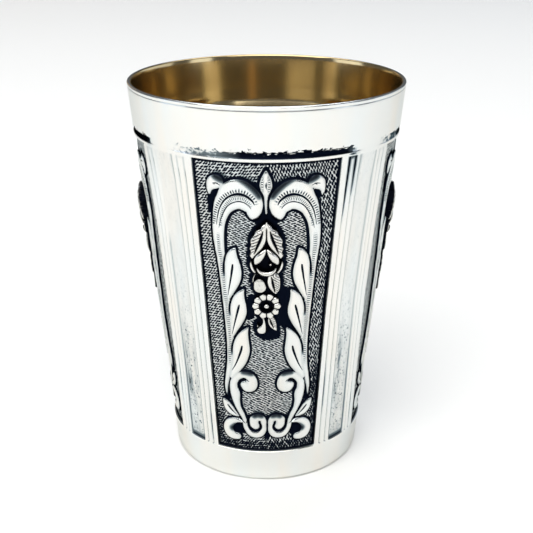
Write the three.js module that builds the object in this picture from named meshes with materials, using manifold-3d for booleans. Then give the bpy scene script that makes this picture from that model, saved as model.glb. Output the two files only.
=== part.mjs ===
// Kiddush cup: a tapered silver beaker, raised from sheet and gilt inside. Four recessed panels of chased
// scrolls and leaves alternate with beaded strips, and a cast flower sprig is soldered to each panel.
// Millimetres, +Z up. The foot stands on z = 0, the axis is Z, and the front panel faces -Y.

import * as THREE from "three";
import Module from "manifold-3d";
import { mergeVertices } from "three/addons/utils/BufferGeometryUtils.js";

// Beaker
const HEIGHT = 90.75;
const RIM_RADIUS = 31;
const FOOT_RADIUS = 22.42;
const WALL = 0.9;
const FLOOR_THICKNESS = 1.1;
const FOOT_ROUND = 1;
const FLOOR_ROUND = 2;
const LIP_ROUND = 0.3;
const PLAIN_COLUMNS = 7;

// Heights of the bands, from the foot up
const PANEL_BOTTOM = 8.5;
const PANEL_TOP = 79;
const FILLET_TOP = 79.9;
const RING_TOP = 81.4;
const STEP_RUN = 0.35;
const INSIDE_EDGE_RUN = 1.5;

// Depths below the plain side
const FIELD_DEPTH = 0.6;
const RING_DEPTH = 0.45;
const GROOVE_DEPTH = 0.35;
const CHANNEL_DEPTH = 0.45;
const INSIDE_BULGE = 0.5;

// Angles from the middle of a panel, in degrees
const PANEL_COUNT = 4;
const SECTOR = 360 / PANEL_COUNT;
const PANEL_HALF_ANGLE = 29.8;
const PANEL_STEP_ANGLE = 0.5;
const GROOVE_ANGLES = [33.6, 37];
const GROOVE_HALF_ANGLE = 0.8;
const CHANNEL_HALF_ANGLE = 5.1;
const INSIDE_EDGE_ANGLE = 2;

// Relief of the chased ornament
const SCROLL_RISE = 0.55;
const SCROLL_ROOT = -0.3;
const MIN_HALF_WIDTH = 0.08;
const EYE_SIDES = 6;
const FIELD_COLUMNS = 3;
const FIELD_PLEAT = 0.02;
const SLAB_DEPTH = 1;

// Flower sprig
const SPRIG_GAP = 0.3;
const LEAF_THINNING = 0.7;
const TOP_LEAF = [
  [0, 66.7, 0.2], [0.95, 64.5, 1.05], [1.8, 62.4, 1.5], [2.5, 60.4, 1.1], [2.8, 58, 0.1],
];
const TOP_LEAF_RISE = 2;
const ROSE_PETAL = [[0.15, 60.6, 0.2], [1.3, 58.8, 0.85], [2.4, 57.2, 0.2]];
const ROSE_PETAL_RISE = 2.1;
const ROSE = { at: [0, 57.2], radius: 3.3, hollow: 1.9, rise: 1.8, sides: 10 };
const ROSE_BEAD = { at: [0.9, 57], radius: 0.6, rise: 1.7 };
const FRUIT = { at: [-1.5, 52.8], radius: 1.9, rise: 1.5 };
const FRUIT_LEAF = [[0.3, 55, 0.2], [1.5, 52.6, 1.25], [2.5, 50, 0.1]];
const LINK = [[0, 52.4, 0.6], [0, 49, 0.6]];
const LINK_RISE = 0.7;
const DAISY = { at: [0, 47], radius: 2.8, eye: 1.3, petals: 10, notch: 0.4, rise: 1.3, bead: 0.7 };
const TAIL_STEM = [[-0.6, 45.5, 0.4], [-1.3, 43.4, 0.5], [-1.1, 41.6, 0.5]];
const TAIL_BUD = { at: [-1.1, 41], radius: 1.05, rise: 0.9 };
const TAIL_LEAF = [[0.2, 45, 0.3], [1.1, 43.2, 0.75], [2.3, 41, 0.1]];

// Chased strokes on the right half of a panel: spine points as [across, height, half width]
const CREST_SCROLL = [
  [2.7, 68.5, 0.8], [2.3, 70.3, 1.4], [5, 72.5, 2.8], [8.8, 69.4, 2.3], [10.1, 63.5, 1.4],
  [9.8, 53, 0.8], [8.6, 41, 0.75], [8.7, 31, 0.55], [9.3, 22.8, 0.1],
];
const CORNER_CURL = [[8.6, 75.2, 0.4], [10.3, 75, 1.2], [11.6, 73.6, 0.8], [11.6, 72.1, 0.2]];
const LOWER_SCROLL = [
  [2.7, 26.2, 0.7], [3, 28.8, 0.9], [5.2, 29.9, 0.9], [7.5, 28.2, 0.95], [7.4, 23, 1.1],
  [5.6, 17, 0.65], [4.2, 13.9, 0.7], [2.2, 12.9, 0.75], [0.8, 14.8, 0.65], [1.2, 17.8, 0.8],
  [2.9, 18.4, 0.95],
];
const FOOT_HOOK = [
  [5.4, 16.2, 0.4], [7.4, 16.8, 0.85], [9.4, 14.8, 1], [8.5, 12.1, 1.05], [6.5, 12.4, 0.5],
];
const STEM_LEAVES = [
  [[6.3, 60.3, 0.1], [6.9, 56.5, 1.7], [7.1, 53.2, 1.6], [8.5, 48.2, 0.4]],
  [[4.5, 50.6, 0.1], [5.9, 47.4, 1.6], [6.2, 44, 1.6], [7.6, 39.2, 0.4]],
  [[4.1, 41.2, 0.1], [5.5, 37, 1.75], [6, 33.4, 1.65], [7.9, 28.6, 0.5]],
];
const SMALL_LEAF = [[10, 22.1, 0.1], [9, 19.9, 0.85], [7, 18.2, 0.3]];
const SCROLL_EYES = [[4.4, 26.6, 1.55], [3.1, 16.9, 1.2]];
const CENTRE_BUD = [[0, 77.6, 0.1], [0, 74.7, 1.25], [0, 72, 0.4], [0, 68.5, 0.2]];

const silver = new THREE.MeshStandardMaterial({ color: "#e9e8e4", roughness: 0.22, metalness: 1 });
const castSilver = new THREE.MeshStandardMaterial({ color: "#8d8f95", roughness: 0.4, metalness: 1 });

const wasm = await Module();
wasm.setup();

const radians = THREE.MathUtils.degToRad;

// Radius of the plain outer side at a height
function sideRadius(z) {
  return THREE.MathUtils.lerp(FOOT_RADIUS, RIM_RADIUS, z / HEIGHT);
}

// A point at an angle from the front, a radius and a height
function around(angle, radius, z) {
  return [radius * Math.sin(angle), -radius * Math.cos(angle), z];
}

// A point of the front panel: arc length from its middle, height, and depth out from its field
function onPanel([across, z, out]) {
  const radius = sideRadius(z) - FIELD_DEPTH;
  return around(across / sideRadius(z), radius + out, z);
}

// Closed mesh with its faces turned outwards
function closedGeometry(points, faces) {
  const volume = faces.reduce((sum, [a, b, c]) => {
    const [p, q, r] = [points[a], points[b], points[c]].map((point) => new THREE.Vector3(...point));
    return sum + p.dot(q.cross(r));
  }, 0);
  const turned = volume > 0 ? faces : faces.map(([a, b, c]) => [a, c, b]);
  const geometry = new THREE.BufferGeometry();
  geometry.setAttribute("position", new THREE.Float32BufferAttribute(points.flat(), 3));
  geometry.setIndex(turned.flat());
  return geometry;
}

function toSolid(geometry) {
  const merged = mergeVertices(geometry, 1e-3);
  const vertProperties = new Float32Array(merged.getAttribute("position").array);
  const triVerts = new Uint32Array(merged.getIndex().array);
  return new wasm.Manifold(new wasm.Mesh({ numProp: 3, vertProperties, triVerts }));
}

function joined(geometries) {
  return geometries.map(toSolid).reduce((whole, piece) => whole.add(piece)).getMesh();
}

// A flat list of numbers as a list of triples
function triples(numbers) {
  return Array.from({ length: numbers.length / 3 }, (_, i) => [...numbers.slice(3 * i, 3 * i + 3)]);
}

// Geometry of a joined mesh, with every vertex moved by a function of its place
function toGeometry(mesh, place = (point) => point) {
  const points = triples(mesh.vertProperties).map(place);
  const geometry = new THREE.BufferGeometry();
  geometry.setAttribute("position", new THREE.Float32BufferAttribute(points.flat(), 3));
  geometry.setIndex([...mesh.triVerts]);
  return geometry;
}

// Skin over a stack of rings, each a list of { angle, radius, z, field } by rising angle, closed at both
// ends. It is left open where a face has all its corners on a panel's field.
function skin(rings) {
  const points = [];
  const faces = [];
  const onField = [];
  const starts = rings.map((ring) => {
    const start = points.length;
    ring.forEach(({ angle, radius, z, field }) => {
      points.push(around(angle, radius, z));
      onField.push(field);
    });
    return start;
  });
  for (let level = 0; level + 1 < rings.length; level += 1) {
    const [low, high] = [rings[level], rings[level + 1]];
    const lowAt = (i) => starts[level] + (i % low.length);
    const highAt = (j) => starts[level + 1] + (j % high.length);
    const angleAt = (ring, i) => ring[i % ring.length].angle + (i < ring.length ? 0 : 2 * Math.PI);
    let i = 0;
    let j = 0;
    while (i < low.length || j < high.length) {
      const lowTurn = j === high.length || (i < low.length && angleAt(low, i + 1) <= angleAt(high, j + 1));
      faces.push(lowTurn ? [lowAt(i), lowAt(i + 1), highAt(j)] : [lowAt(i), highAt(j + 1), highAt(j)]);
      i += lowTurn ? 1 : 0;
      j += lowTurn ? 0 : 1;
    }
  }
  const cap = (level, flip) => {
    const ring = rings[level];
    const centre = points.push([0, 0, ring[0].z]) - 1;
    ring.forEach((_, i) => {
      const edge = [starts[level] + i, starts[level] + ((i + 1) % ring.length)];
      faces.push(flip ? [edge[1], edge[0], centre] : [edge[0], edge[1], centre]);
    });
  };
  cap(0, true);
  cap(rings.length - 1, false);
  return { points, faces: faces.filter((face) => !face.every((corner) => onField[corner])) };
}

// Angles and depths across half a sector, from the middle of a panel to the middle of a strip
function halfSectorSection() {
  const foot = PANEL_HALF_ANGLE - PANEL_STEP_ANGLE;
  const section = [];
  for (let column = 0; column <= FIELD_COLUMNS; column += 1) {
    section.push([(foot * column) / FIELD_COLUMNS, FIELD_DEPTH]);
  }
  section.push([PANEL_HALF_ANGLE, 0]);
  for (const angle of GROOVE_ANGLES) {
    section.push([angle - GROOVE_HALF_ANGLE, 0], [angle, GROOVE_DEPTH], [angle + GROOVE_HALF_ANGLE, 0]);
  }
  const channel = SECTOR / 2 - CHANNEL_HALF_ANGLE;
  section.push([channel - GROOVE_HALF_ANGLE, 0], [channel, GROOVE_DEPTH], [SECTOR / 2, CHANNEL_DEPTH]);
  return section;
}

// The same across one whole sector, then round the cup, as { angle, depth }
function roundTheCup(halfSection) {
  const left = halfSection.slice(1).map(([angle, depth]) => [-angle, depth]).reverse();
  const sector = [...left, ...halfSection.slice(0, -1)];
  return Array.from({ length: PANEL_COUNT }, (_, panel) =>
    sector.map(([angle, depth]) => ({ angle: radians(angle + panel * SECTOR), depth })),
  ).flat();
}

function ringAt(z, section, depthShare, inset = 0) {
  return section.map(({ angle, depth }) => ({
    angle,
    radius: sideRadius(z) - inset - depth * depthShare,
    z,
    field: depth * depthShare === FIELD_DEPTH,
  }));
}

function plainBeaker() {
  const columnAngle = SECTOR / 2 / PLAIN_COLUMNS;
  const plain = roundTheCup(Array.from({ length: PLAIN_COLUMNS + 1 }, (_, i) => [i * columnAngle, 0]));
  const fluted = roundTheCup(halfSectorSection());
  const bulgeHalfAngle = PANEL_HALF_ANGLE - INSIDE_EDGE_ANGLE;
  const inside = roundTheCup([
    ...[0, 1 / 3, 2 / 3, 1].map((share) => [bulgeHalfAngle * share, INSIDE_BULGE]),
    [PANEL_HALF_ANGLE + INSIDE_EDGE_ANGLE, 0],
    [SECTOR / 2, 0],
  ]);
  const rounded = (section, z, inset) => ringAt(z, section, 0, inset);
  return skin([
    rounded(plain, 0, FOOT_ROUND),
    rounded(plain, FOOT_ROUND, 0),
    ringAt(PANEL_BOTTOM - STEP_RUN, fluted, 0),
    ringAt(PANEL_BOTTOM, fluted, 1),
    ringAt(PANEL_TOP, fluted, 1),
    ringAt(PANEL_TOP + STEP_RUN, fluted, 0),
    rounded(plain, FILLET_TOP, 0),
    rounded(plain, FILLET_TOP + STEP_RUN, RING_DEPTH),
    rounded(plain, RING_TOP - STEP_RUN, RING_DEPTH),
    rounded(plain, RING_TOP, 0),
    rounded(plain, HEIGHT - LIP_ROUND, 0),
    rounded(plain, HEIGHT, LIP_ROUND),
    rounded(inside, HEIGHT, WALL - LIP_ROUND),
    rounded(inside, HEIGHT - LIP_ROUND, WALL),
    ringAt(PANEL_TOP + INSIDE_EDGE_RUN, inside, 0, WALL),
    ringAt(PANEL_TOP - INSIDE_EDGE_RUN, inside, 1, WALL),
    ringAt(PANEL_BOTTOM + INSIDE_EDGE_RUN, inside, 1, WALL),
    ringAt(PANEL_BOTTOM - INSIDE_EDGE_RUN, inside, 0, WALL),
    rounded(inside, FLOOR_THICKNESS + FLOOR_ROUND, WALL),
    rounded(inside, FLOOR_THICKNESS, WALL + FLOOR_ROUND),
  ]);
}

// Closed skin over a run of like sections, each a loop of points. The first and the last loop are convex.
function loft(sections) {
  const count = sections[0].length;
  const points = sections.flat();
  const faces = [];
  for (let start = 0; start < points.length; start += count) {
    for (let side = 0; start + count < points.length && side < count; side += 1) {
      const corner = start + side;
      const next = start + ((side + 1) % count);
      faces.push([corner, next, next + count], [corner, next + count, corner + count]);
    }
  }
  const last = points.length - count;
  for (let side = 1; side + 1 < count; side += 1) {
    faces.push([0, side + 1, side], [last, last + side, last + side + 1]);
  }
  return closedGeometry(points, faces);
}

// Stroke along a smooth spine of [across, height, half width] points, in flat panel coordinates. Its section
// is a list of [share of the half width, out] points, and it may thin towards its narrow ends.
function stroke(spine, steps, section, thinning = 0) {
  const curve = new THREE.CatmullRomCurve3(spine.map((point) => new THREE.Vector3(...point)));
  const widest = Math.max(...spine.map(([, , half]) => half));
  const sections = Array.from({ length: steps + 1 }, (_, step) => {
    const { x, y, z: half } = curve.getPoint(step / steps);
    const tangent = curve.getTangent(step / steps);
    const along = new THREE.Vector2(tangent.x, tangent.y).normalize();
    const thickness = 1 - thinning * (1 - half / widest);
    return section.map(([share, out]) => {
      const reach = share * Math.max(half, MIN_HALF_WIDTH);
      return [x + along.y * reach, y - along.x * reach, out * thickness];
    });
  });
  return loft(sections);
}

// Round boss with a profile of [radius, out, notch] rings, where every second corner is drawn in by the notch
function boss([across, z], profile, sides) {
  const ring = ([radius, out, notch = 0]) =>
    Array.from({ length: sides }, (_, side) => {
      const angle = (2 * Math.PI * side) / sides;
      const reach = radius - (side % 2) * notch;
      return [across + reach * Math.cos(angle), z + reach * Math.sin(angle), out];
    });
  return loft(profile.map(ring));
}

function mirrored(spine) {
  return spine.map(([across, z, half]) => [-across, z, half]);
}

// Every stroke of the chased ornament of one panel, in flat panel coordinates
function ornament() {
  const right = [
    [CREST_SCROLL, 12], [CORNER_CURL, 3], [LOWER_SCROLL, 11], [FOOT_HOOK, 5],
    ...STEM_LEAVES.map((leaf) => [leaf, 3]), [SMALL_LEAF, 2],
  ];
  const eye = ([across, z, radius]) =>
    boss([across, z], [[radius, SCROLL_ROOT], [radius, SCROLL_RISE]], EYE_SIDES);
  const section = [[-1, SCROLL_ROOT], [-1, SCROLL_RISE], [1, SCROLL_RISE], [1, SCROLL_ROOT]];
  const chased = (spine, steps) => stroke(spine, steps, section);
  return [
    ...right.map(([spine, steps]) => chased(spine, steps)),
    ...right.map(([spine, steps]) => chased(mirrored(spine), steps)),
    ...SCROLL_EYES.flatMap((spot) => [eye(spot), ...mirrored([spot]).map(eye)]),
    chased(CENTRE_BUD, 3),
  ];
}

// Flat slab under the ornament, from the foot of the panel to its top. Its columns are pleated a hair up
// and down, so that each stays a facet of its own when the panel is bent round the cup.
function fieldSlab() {
  const foot = radians(PANEL_HALF_ANGLE - PANEL_STEP_ANGLE);
  const sections = Array.from({ length: 2 * FIELD_COLUMNS + 1 }, (_, i) => {
    const angle = (foot * (i - FIELD_COLUMNS)) / FIELD_COLUMNS;
    const front = (i % 2) * -FIELD_PLEAT;
    const low = angle * sideRadius(PANEL_BOTTOM);
    const high = angle * sideRadius(PANEL_TOP);
    return [
      [low, PANEL_BOTTOM, -SLAB_DEPTH],
      [low, PANEL_BOTTOM, front],
      [high, PANEL_TOP, front],
      [high, PANEL_TOP, -SLAB_DEPTH],
    ];
  });
  return loft(sections);
}

// Open face of the front panel: its field with the ornament standing on it
function panelFace() {
  const mesh = joined([fieldSlab(), ...ornament()]);
  const flat = triples(mesh.vertProperties);
  const isFront = (face) => face.every((corner) => flat[corner][2] > -2 * FIELD_PLEAT);
  const unpleated = (out) => (Math.abs(out) < 2 * FIELD_PLEAT ? 0 : out);
  const points = flat.map(([across, z, out]) => onPanel([across, z, unpleated(out)]));
  return { points, faces: triples(mesh.triVerts).filter(isFront) };
}

// The beaker with a panel face set into each of its four openings
function beaker() {
  const { points, faces } = plainBeaker();
  const face = panelFace();
  for (let panel = 0; panel < PANEL_COUNT; panel += 1) {
    const start = points.length;
    const turn = new THREE.Matrix4().makeRotationZ(radians(panel * SECTOR));
    points.push(...face.points.map((point) => new THREE.Vector3(...point).applyMatrix4(turn).toArray()));
    faces.push(...face.faces.map((corners) => corners.map((corner) => start + corner)));
  }
  return toGeometry(toSolid(closedGeometry(points, faces)).getMesh());
}

// One cast sprig, in flat panel coordinates with its back at zero
function sprig() {
  const { radius, hollow, rise } = ROSE;
  const roseCup = [[radius, 0], [radius, rise * 0.6], [radius * 0.8, rise], [hollow, rise * 0.6]];
  const petalRoot = DAISY.radius - DAISY.notch;
  const bloom = [[petalRoot, 0], [DAISY.radius, DAISY.rise, DAISY.notch], [DAISY.eye, DAISY.rise * 0.5]];
  const dome = (reach, out) => [[reach, 0], [reach * 0.6, out]];
  const bead = (reach, out) => [[reach, 0.5], [reach * 0.7, out]];
  const leaf = (spine, steps, out) => stroke(spine, steps, [[-1, 0], [0, out], [1, 0]], LEAF_THINNING);
  return [
    leaf(TOP_LEAF, 4, TOP_LEAF_RISE),
    leaf(mirrored(TOP_LEAF), 4, TOP_LEAF_RISE),
    leaf(ROSE_PETAL, 3, ROSE_PETAL_RISE),
    leaf(mirrored(ROSE_PETAL), 3, ROSE_PETAL_RISE),
    boss(ROSE.at, roseCup, ROSE.sides),
    boss(ROSE_BEAD.at, bead(ROSE_BEAD.radius, ROSE_BEAD.rise), 5),
    boss(FRUIT.at, dome(FRUIT.radius, FRUIT.rise), 7),
    leaf(FRUIT_LEAF, 3, FRUIT.rise),
    leaf(LINK, 1, LINK_RISE),
    boss(DAISY.at, bloom, DAISY.petals * 2),
    boss(DAISY.at, bead(DAISY.bead, DAISY.rise), 5),
    leaf(TAIL_STEM, 2, TAIL_BUD.rise),
    boss(TAIL_BUD.at, dome(TAIL_BUD.radius, TAIL_BUD.rise), 6),
    leaf(TAIL_LEAF, 2, TAIL_BUD.rise),
  ];
}

const cup = new THREE.Group();

const body = new THREE.Mesh(beaker(), silver);
body.name = "cup_body";
cup.add(body);

const onField = ([across, z, out]) => onPanel([across, z, out + SPRIG_GAP]);
const sprigGeometry = toGeometry(joined(sprig()), onField);
["front", "right", "back", "left"].forEach((side, panel) => {
  const flower = new THREE.Mesh(sprigGeometry, castSilver);
  flower.name = `flower_sprig_${side}`;
  flower.rotation.z = radians(panel * SECTOR);
  cup.add(flower);
});

export default cup;
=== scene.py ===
"""Looks of a kiddush cup: a tapered silver beaker, gilt inside, with four chased panels of scrolls and
leaves and a cast flower sprig soldered to each panel.

The frame is in metres with +Z up, and the front panel faces -Y. Sizes in the classes are millimetres, as a
silversmith states them, and turn to metres where a mesh is made. A place on a panel is its arc length across
from the panel's middle and its height above the foot. Angles are in degrees from a panel's middle.
"""

import logging
import math
from collections.abc import Callable
from dataclasses import dataclass
from enum import Enum
from functools import partial
from typing import Any

import bmesh
import bpy
import numpy as np
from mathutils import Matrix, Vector


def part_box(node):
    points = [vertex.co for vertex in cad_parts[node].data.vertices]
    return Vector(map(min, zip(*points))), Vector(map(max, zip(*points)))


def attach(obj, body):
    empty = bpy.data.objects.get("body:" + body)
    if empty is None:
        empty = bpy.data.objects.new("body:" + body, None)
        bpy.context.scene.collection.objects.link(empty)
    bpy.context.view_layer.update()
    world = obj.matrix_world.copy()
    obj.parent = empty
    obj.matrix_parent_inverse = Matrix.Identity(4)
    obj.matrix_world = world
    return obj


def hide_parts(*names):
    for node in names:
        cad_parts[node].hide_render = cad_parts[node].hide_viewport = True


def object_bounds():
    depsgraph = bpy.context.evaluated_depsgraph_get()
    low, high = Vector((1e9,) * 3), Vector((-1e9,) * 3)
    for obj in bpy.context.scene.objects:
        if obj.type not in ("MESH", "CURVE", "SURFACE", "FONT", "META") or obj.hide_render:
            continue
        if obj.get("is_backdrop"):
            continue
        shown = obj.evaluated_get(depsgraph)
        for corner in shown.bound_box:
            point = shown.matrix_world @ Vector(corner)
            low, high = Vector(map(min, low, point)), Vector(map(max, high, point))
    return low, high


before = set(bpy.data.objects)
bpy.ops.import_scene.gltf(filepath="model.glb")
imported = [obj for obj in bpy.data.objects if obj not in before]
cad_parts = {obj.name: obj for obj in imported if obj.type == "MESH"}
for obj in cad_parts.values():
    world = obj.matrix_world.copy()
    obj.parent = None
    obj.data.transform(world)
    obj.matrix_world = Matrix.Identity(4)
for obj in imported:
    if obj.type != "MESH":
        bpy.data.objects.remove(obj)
CAD_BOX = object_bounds()

LOG = logging.getLogger("kiddush_cup")
BODY = "root"
MM = 0.001
# Points on each span of a stroke's spine.
SPAN_STEPS = 10
# A distance that counts as far from all ornament, and the numbers of a vertex out there.
FAR = 5.0
PLAIN = {"scroll_mm": FAR, "leaf_mm": FAR, "groove_mm": FAR}

Pair = tuple[float, float]
Spine = tuple[tuple[float, float, float], ...]
Socket = bpy.types.NodeSocket
Add = Callable[..., Socket]


class Side(Enum):
    """The four panels in the order of their quarter turns from the front."""

    FRONT = 0
    RIGHT = 1
    BACK = 2
    LEFT = 3

    @property
    def turn(self) -> float:
        """Angle of the panel from the front, in radians."""
        return self.value * math.tau / len(Side)

    @property
    def node(self) -> str:
        """Name of the solid that the panel's sprig stands for."""
        return f"flower_sprig_{self.name.lower()}"


class Ground(Enum):
    """The grounds of a panel: slant of the punch marks in degrees, how coarse they are, and how much darker
    they are.
    """

    INNER = (20.0, 1.12, 0.0)
    LEFT_BORDER = (56.0, 1.24, 0.05)
    RIGHT_BORDER = (-56.0, 1.26, 0.12)


def linear(code: str) -> tuple[float, float, float, float]:
    """Turns an sRGB hex colour to linear.

    Args:
        code: Colour such as "#f4f2ee".

    Returns:
        Linear red, green, blue and an alpha of 1.
    """
    parts = [int(code[i:i + 2], 16) / 255 for i in (1, 3, 5)]
    red, green, blue = (p / 12.92 if p <= 0.04045 else ((p + 0.055) / 1.055) ** 2.4 for p in parts)
    return red, green, blue, 1.0


def add_node(
    tree: bpy.types.NodeTree, kind: str, inputs: dict[Any, Any] | None = None, output: Any = 0,
    **settings: Any,
) -> Socket | None:
    """Adds one node to a tree.

    Args:
        tree: Tree that takes the node.
        kind: Blender's name of the node type.
        inputs: Socket name or index, with a value for it or an output socket to link to it.
        output: Name or index of the output that is wanted.
        settings: Properties of the node.

    Returns:
        The wanted output, or None for a node that ends its tree.
    """
    node = tree.nodes.new(kind)
    for name, value in settings.items():
        setattr(node, name, value)
    for socket, value in (inputs or {}).items():
        if isinstance(value, bpy.types.NodeSocket):
            tree.links.new(value, node.inputs[socket])
        else:
            node.inputs[socket].default_value = value
    return node.outputs[output] if node.outputs else None


def smooth(values: np.ndarray | float, start: float, end: float) -> np.ndarray:
    """Smooth step of the values, 0 at start and 1 at end, whichever is the greater."""
    t = np.clip((values - start) / (end - start), 0.0, 1.0)
    return t * t * (3 - 2 * t)


def between(values: np.ndarray | float, rise: Pair, fall: Pair) -> np.ndarray:
    """Smooth step up over the first pair and down again over the second."""
    return smooth(values, *rise) * smooth(values, *fall)


def numbers(mesh: bpy.types.Mesh, name: str) -> np.ndarray:
    """Reads one of the numbers on a mesh's vertices."""
    values = np.zeros(len(mesh.vertices), np.float32)
    mesh.attributes[name].data.foreach_get("value", values)
    return values


def set_numbers(mesh: bpy.types.Mesh, name: str, values: np.ndarray) -> None:
    """Writes one of the numbers on a mesh's vertices."""
    mesh.attributes[name].data.foreach_set("value", values.astype(np.float32))


@dataclass(frozen=True)
class Reach:
    """How points lie to a stroke.

    The fields are the distance outside its edge, the distance to one side of its spine, the run along it,
    its half width there, and how far past its ends a point is.
    """

    edge: np.ndarray
    side: np.ndarray
    run: np.ndarray
    half: np.ndarray
    past: np.ndarray


@dataclass(frozen=True)
class Stroke:
    """Smooth stroke with a spine of (across, height, half width) points, and its dark outline's width."""

    spine: Spine
    line: float = 0.5

    def samples(self) -> np.ndarray:
        """Points along the spine, as rows of across, height and half width.

        Returns:
            Places on a smooth curve through all the spine's points.
        """
        knots = np.array(self.spine, float)
        knots = np.vstack([2 * knots[0] - knots[1], knots, 2 * knots[-1] - knots[-2]])
        t = np.linspace(0, 1, SPAN_STEPS, endpoint=False)[:, None]
        runs = [
            0.5 * (2 * b + (c - a) * t + (2 * a - 5 * b + 4 * c - d) * t**2 + (3 * b - a - 3 * c + d) * t**3)
            for a, b, c, d in zip(knots, knots[1:], knots[2:], knots[3:])
        ]
        return np.vstack([*runs, knots[-2:-1]])

    def length(self) -> float:
        """Length of the spine."""
        step = np.diff(self.samples(), axis=0)
        return float(np.hypot(step[:, 0], step[:, 1]).sum())

    def reach(self, across: np.ndarray, height: np.ndarray) -> Reach:
        """Measures points against the stroke.

        Args:
            across: Arc lengths from the panel's middle.
            height: Heights above the foot.

        Returns:
            The points' reach, by the stretch of the stroke that each is nearest to.
        """
        line = self.samples()
        step = np.diff(line, axis=0)
        length = np.hypot(step[:, 0], step[:, 1])
        before = np.concatenate([[0.0], np.cumsum(length)])
        edge = np.full(across.shape, np.inf)
        side, run, half, past = (np.zeros(across.shape) for _ in range(4))
        for i, ((x, z, w), (dx, dz, dw), reach) in enumerate(zip(line, step, length)):
            along = ((across - x) * dx + (height - z) * dz) / reach
            offset = ((height - z) * dx - (across - x) * dz) / reach
            t = np.clip(along / reach, 0, 1)
            width = w + t * dw
            over = along - t * reach
            distance = np.hypot(offset, over) - width
            closer = distance < edge
            edge = np.where(closer, distance, edge)
            side = np.where(closer, offset, side)
            run = np.where(closer, before[i] + t * reach, run)
            half = np.where(closer, width, half)
            past = np.where(closer, np.abs(over), past)
        return Reach(edge, side, run, half, past)


class Sketch:
    """Vertices and faces of a mesh under way, with named numbers on the vertices and a flag on the faces."""

    def __init__(self) -> None:
        """Starts with nothing drawn."""
        self.points: list[np.ndarray] = []
        self.values: list[dict[str, np.ndarray]] = []
        self.faces: list[tuple[int, ...]] = []
        self.inside: list[bool] = []
        self.count = 0

    def add(self, points: np.ndarray, **values: np.ndarray | float) -> np.ndarray:
        """Adds vertices.

        Args:
            points: Places in millimetres, with x, y and z on the last axis.
            values: Named numbers on the vertices.

        Returns:
            The vertices' indices, in the shape of the points.
        """
        shape = points.shape[:-1]
        total = int(np.prod(shape))
        self.points.append(points.reshape(-1, 3))
        self.values.append({name: np.broadcast_to(v, shape).reshape(-1) for name, v in values.items()})
        self.count += total
        return np.arange(self.count - total, self.count).reshape(shape)

    def face(self, *corners: int, inside: bool = False) -> None:
        """Adds one face, flagged if it is on the inside of the cup."""
        self.faces.append(tuple(int(c) for c in corners))
        self.inside.append(inside)

    def weave(self, grid: np.ndarray, inside: bool = False) -> None:
        """Fills a grid of vertices, by row and column, with quads."""
        for quad in zip(grid[:-1, :-1].flat, grid[:-1, 1:].flat, grid[1:, 1:].flat, grid[1:, :-1].flat):
            self.face(*quad, inside=inside)

    def close(self, row: np.ndarray, z: float, inside: bool = False) -> None:
        """Closes a row of vertices to a point on the axis.

        Args:
            row: Indices of the row.
            z: Height of the point.
            inside: Whether the faces are on the inside of the cup.
        """
        centre = self.add(np.array([[0.0, 0.0, z]]), **PLAIN)[0]
        for a, b in zip(row, row[1:]):
            self.face(centre, a, b, inside=inside)

    def zip_up(self, low: np.ndarray, low_at: np.ndarray, high: np.ndarray, high_at: np.ndarray) -> None:
        """Closes the gap between two runs of vertices with triangles.

        Args:
            low: Indices of one run.
            low_at: Rising numbers that say where its vertices are along the gap.
            high: Indices of the other run.
            high_at: The same for the other run.
        """
        i = j = 0
        while i + 1 < len(low) or j + 1 < len(high):
            if j + 1 == len(high) or (i + 1 < len(low) and low_at[i + 1] <= high_at[j + 1]):
                self.face(low[i], low[i + 1], high[j])
                i += 1
            else:
                self.face(low[i], high[j + 1], high[j])
                j += 1

    def mesh(self, name: str) -> bpy.types.Mesh:
        """Makes the mesh, in metres.

        Args:
            name: Name of the mesh.

        Returns:
            The mesh, with its numbers as attributes.
        """
        mesh = bpy.data.meshes.new(name)
        mesh.from_pydata((np.vstack(self.points) * MM).tolist(), [], self.faces)
        for key in sorted({key for values in self.values for key in values}):
            parts = [v.get(key, np.zeros(len(p))) for v, p in zip(self.values, self.points)]
            mesh.attributes.new(key, "FLOAT", "POINT")
            set_numbers(mesh, key, np.concatenate(parts))
        flags = mesh.attributes.new("inside", "BOOLEAN", "FACE")
        flags.data.foreach_set("value", self.inside)
        return mesh


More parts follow.
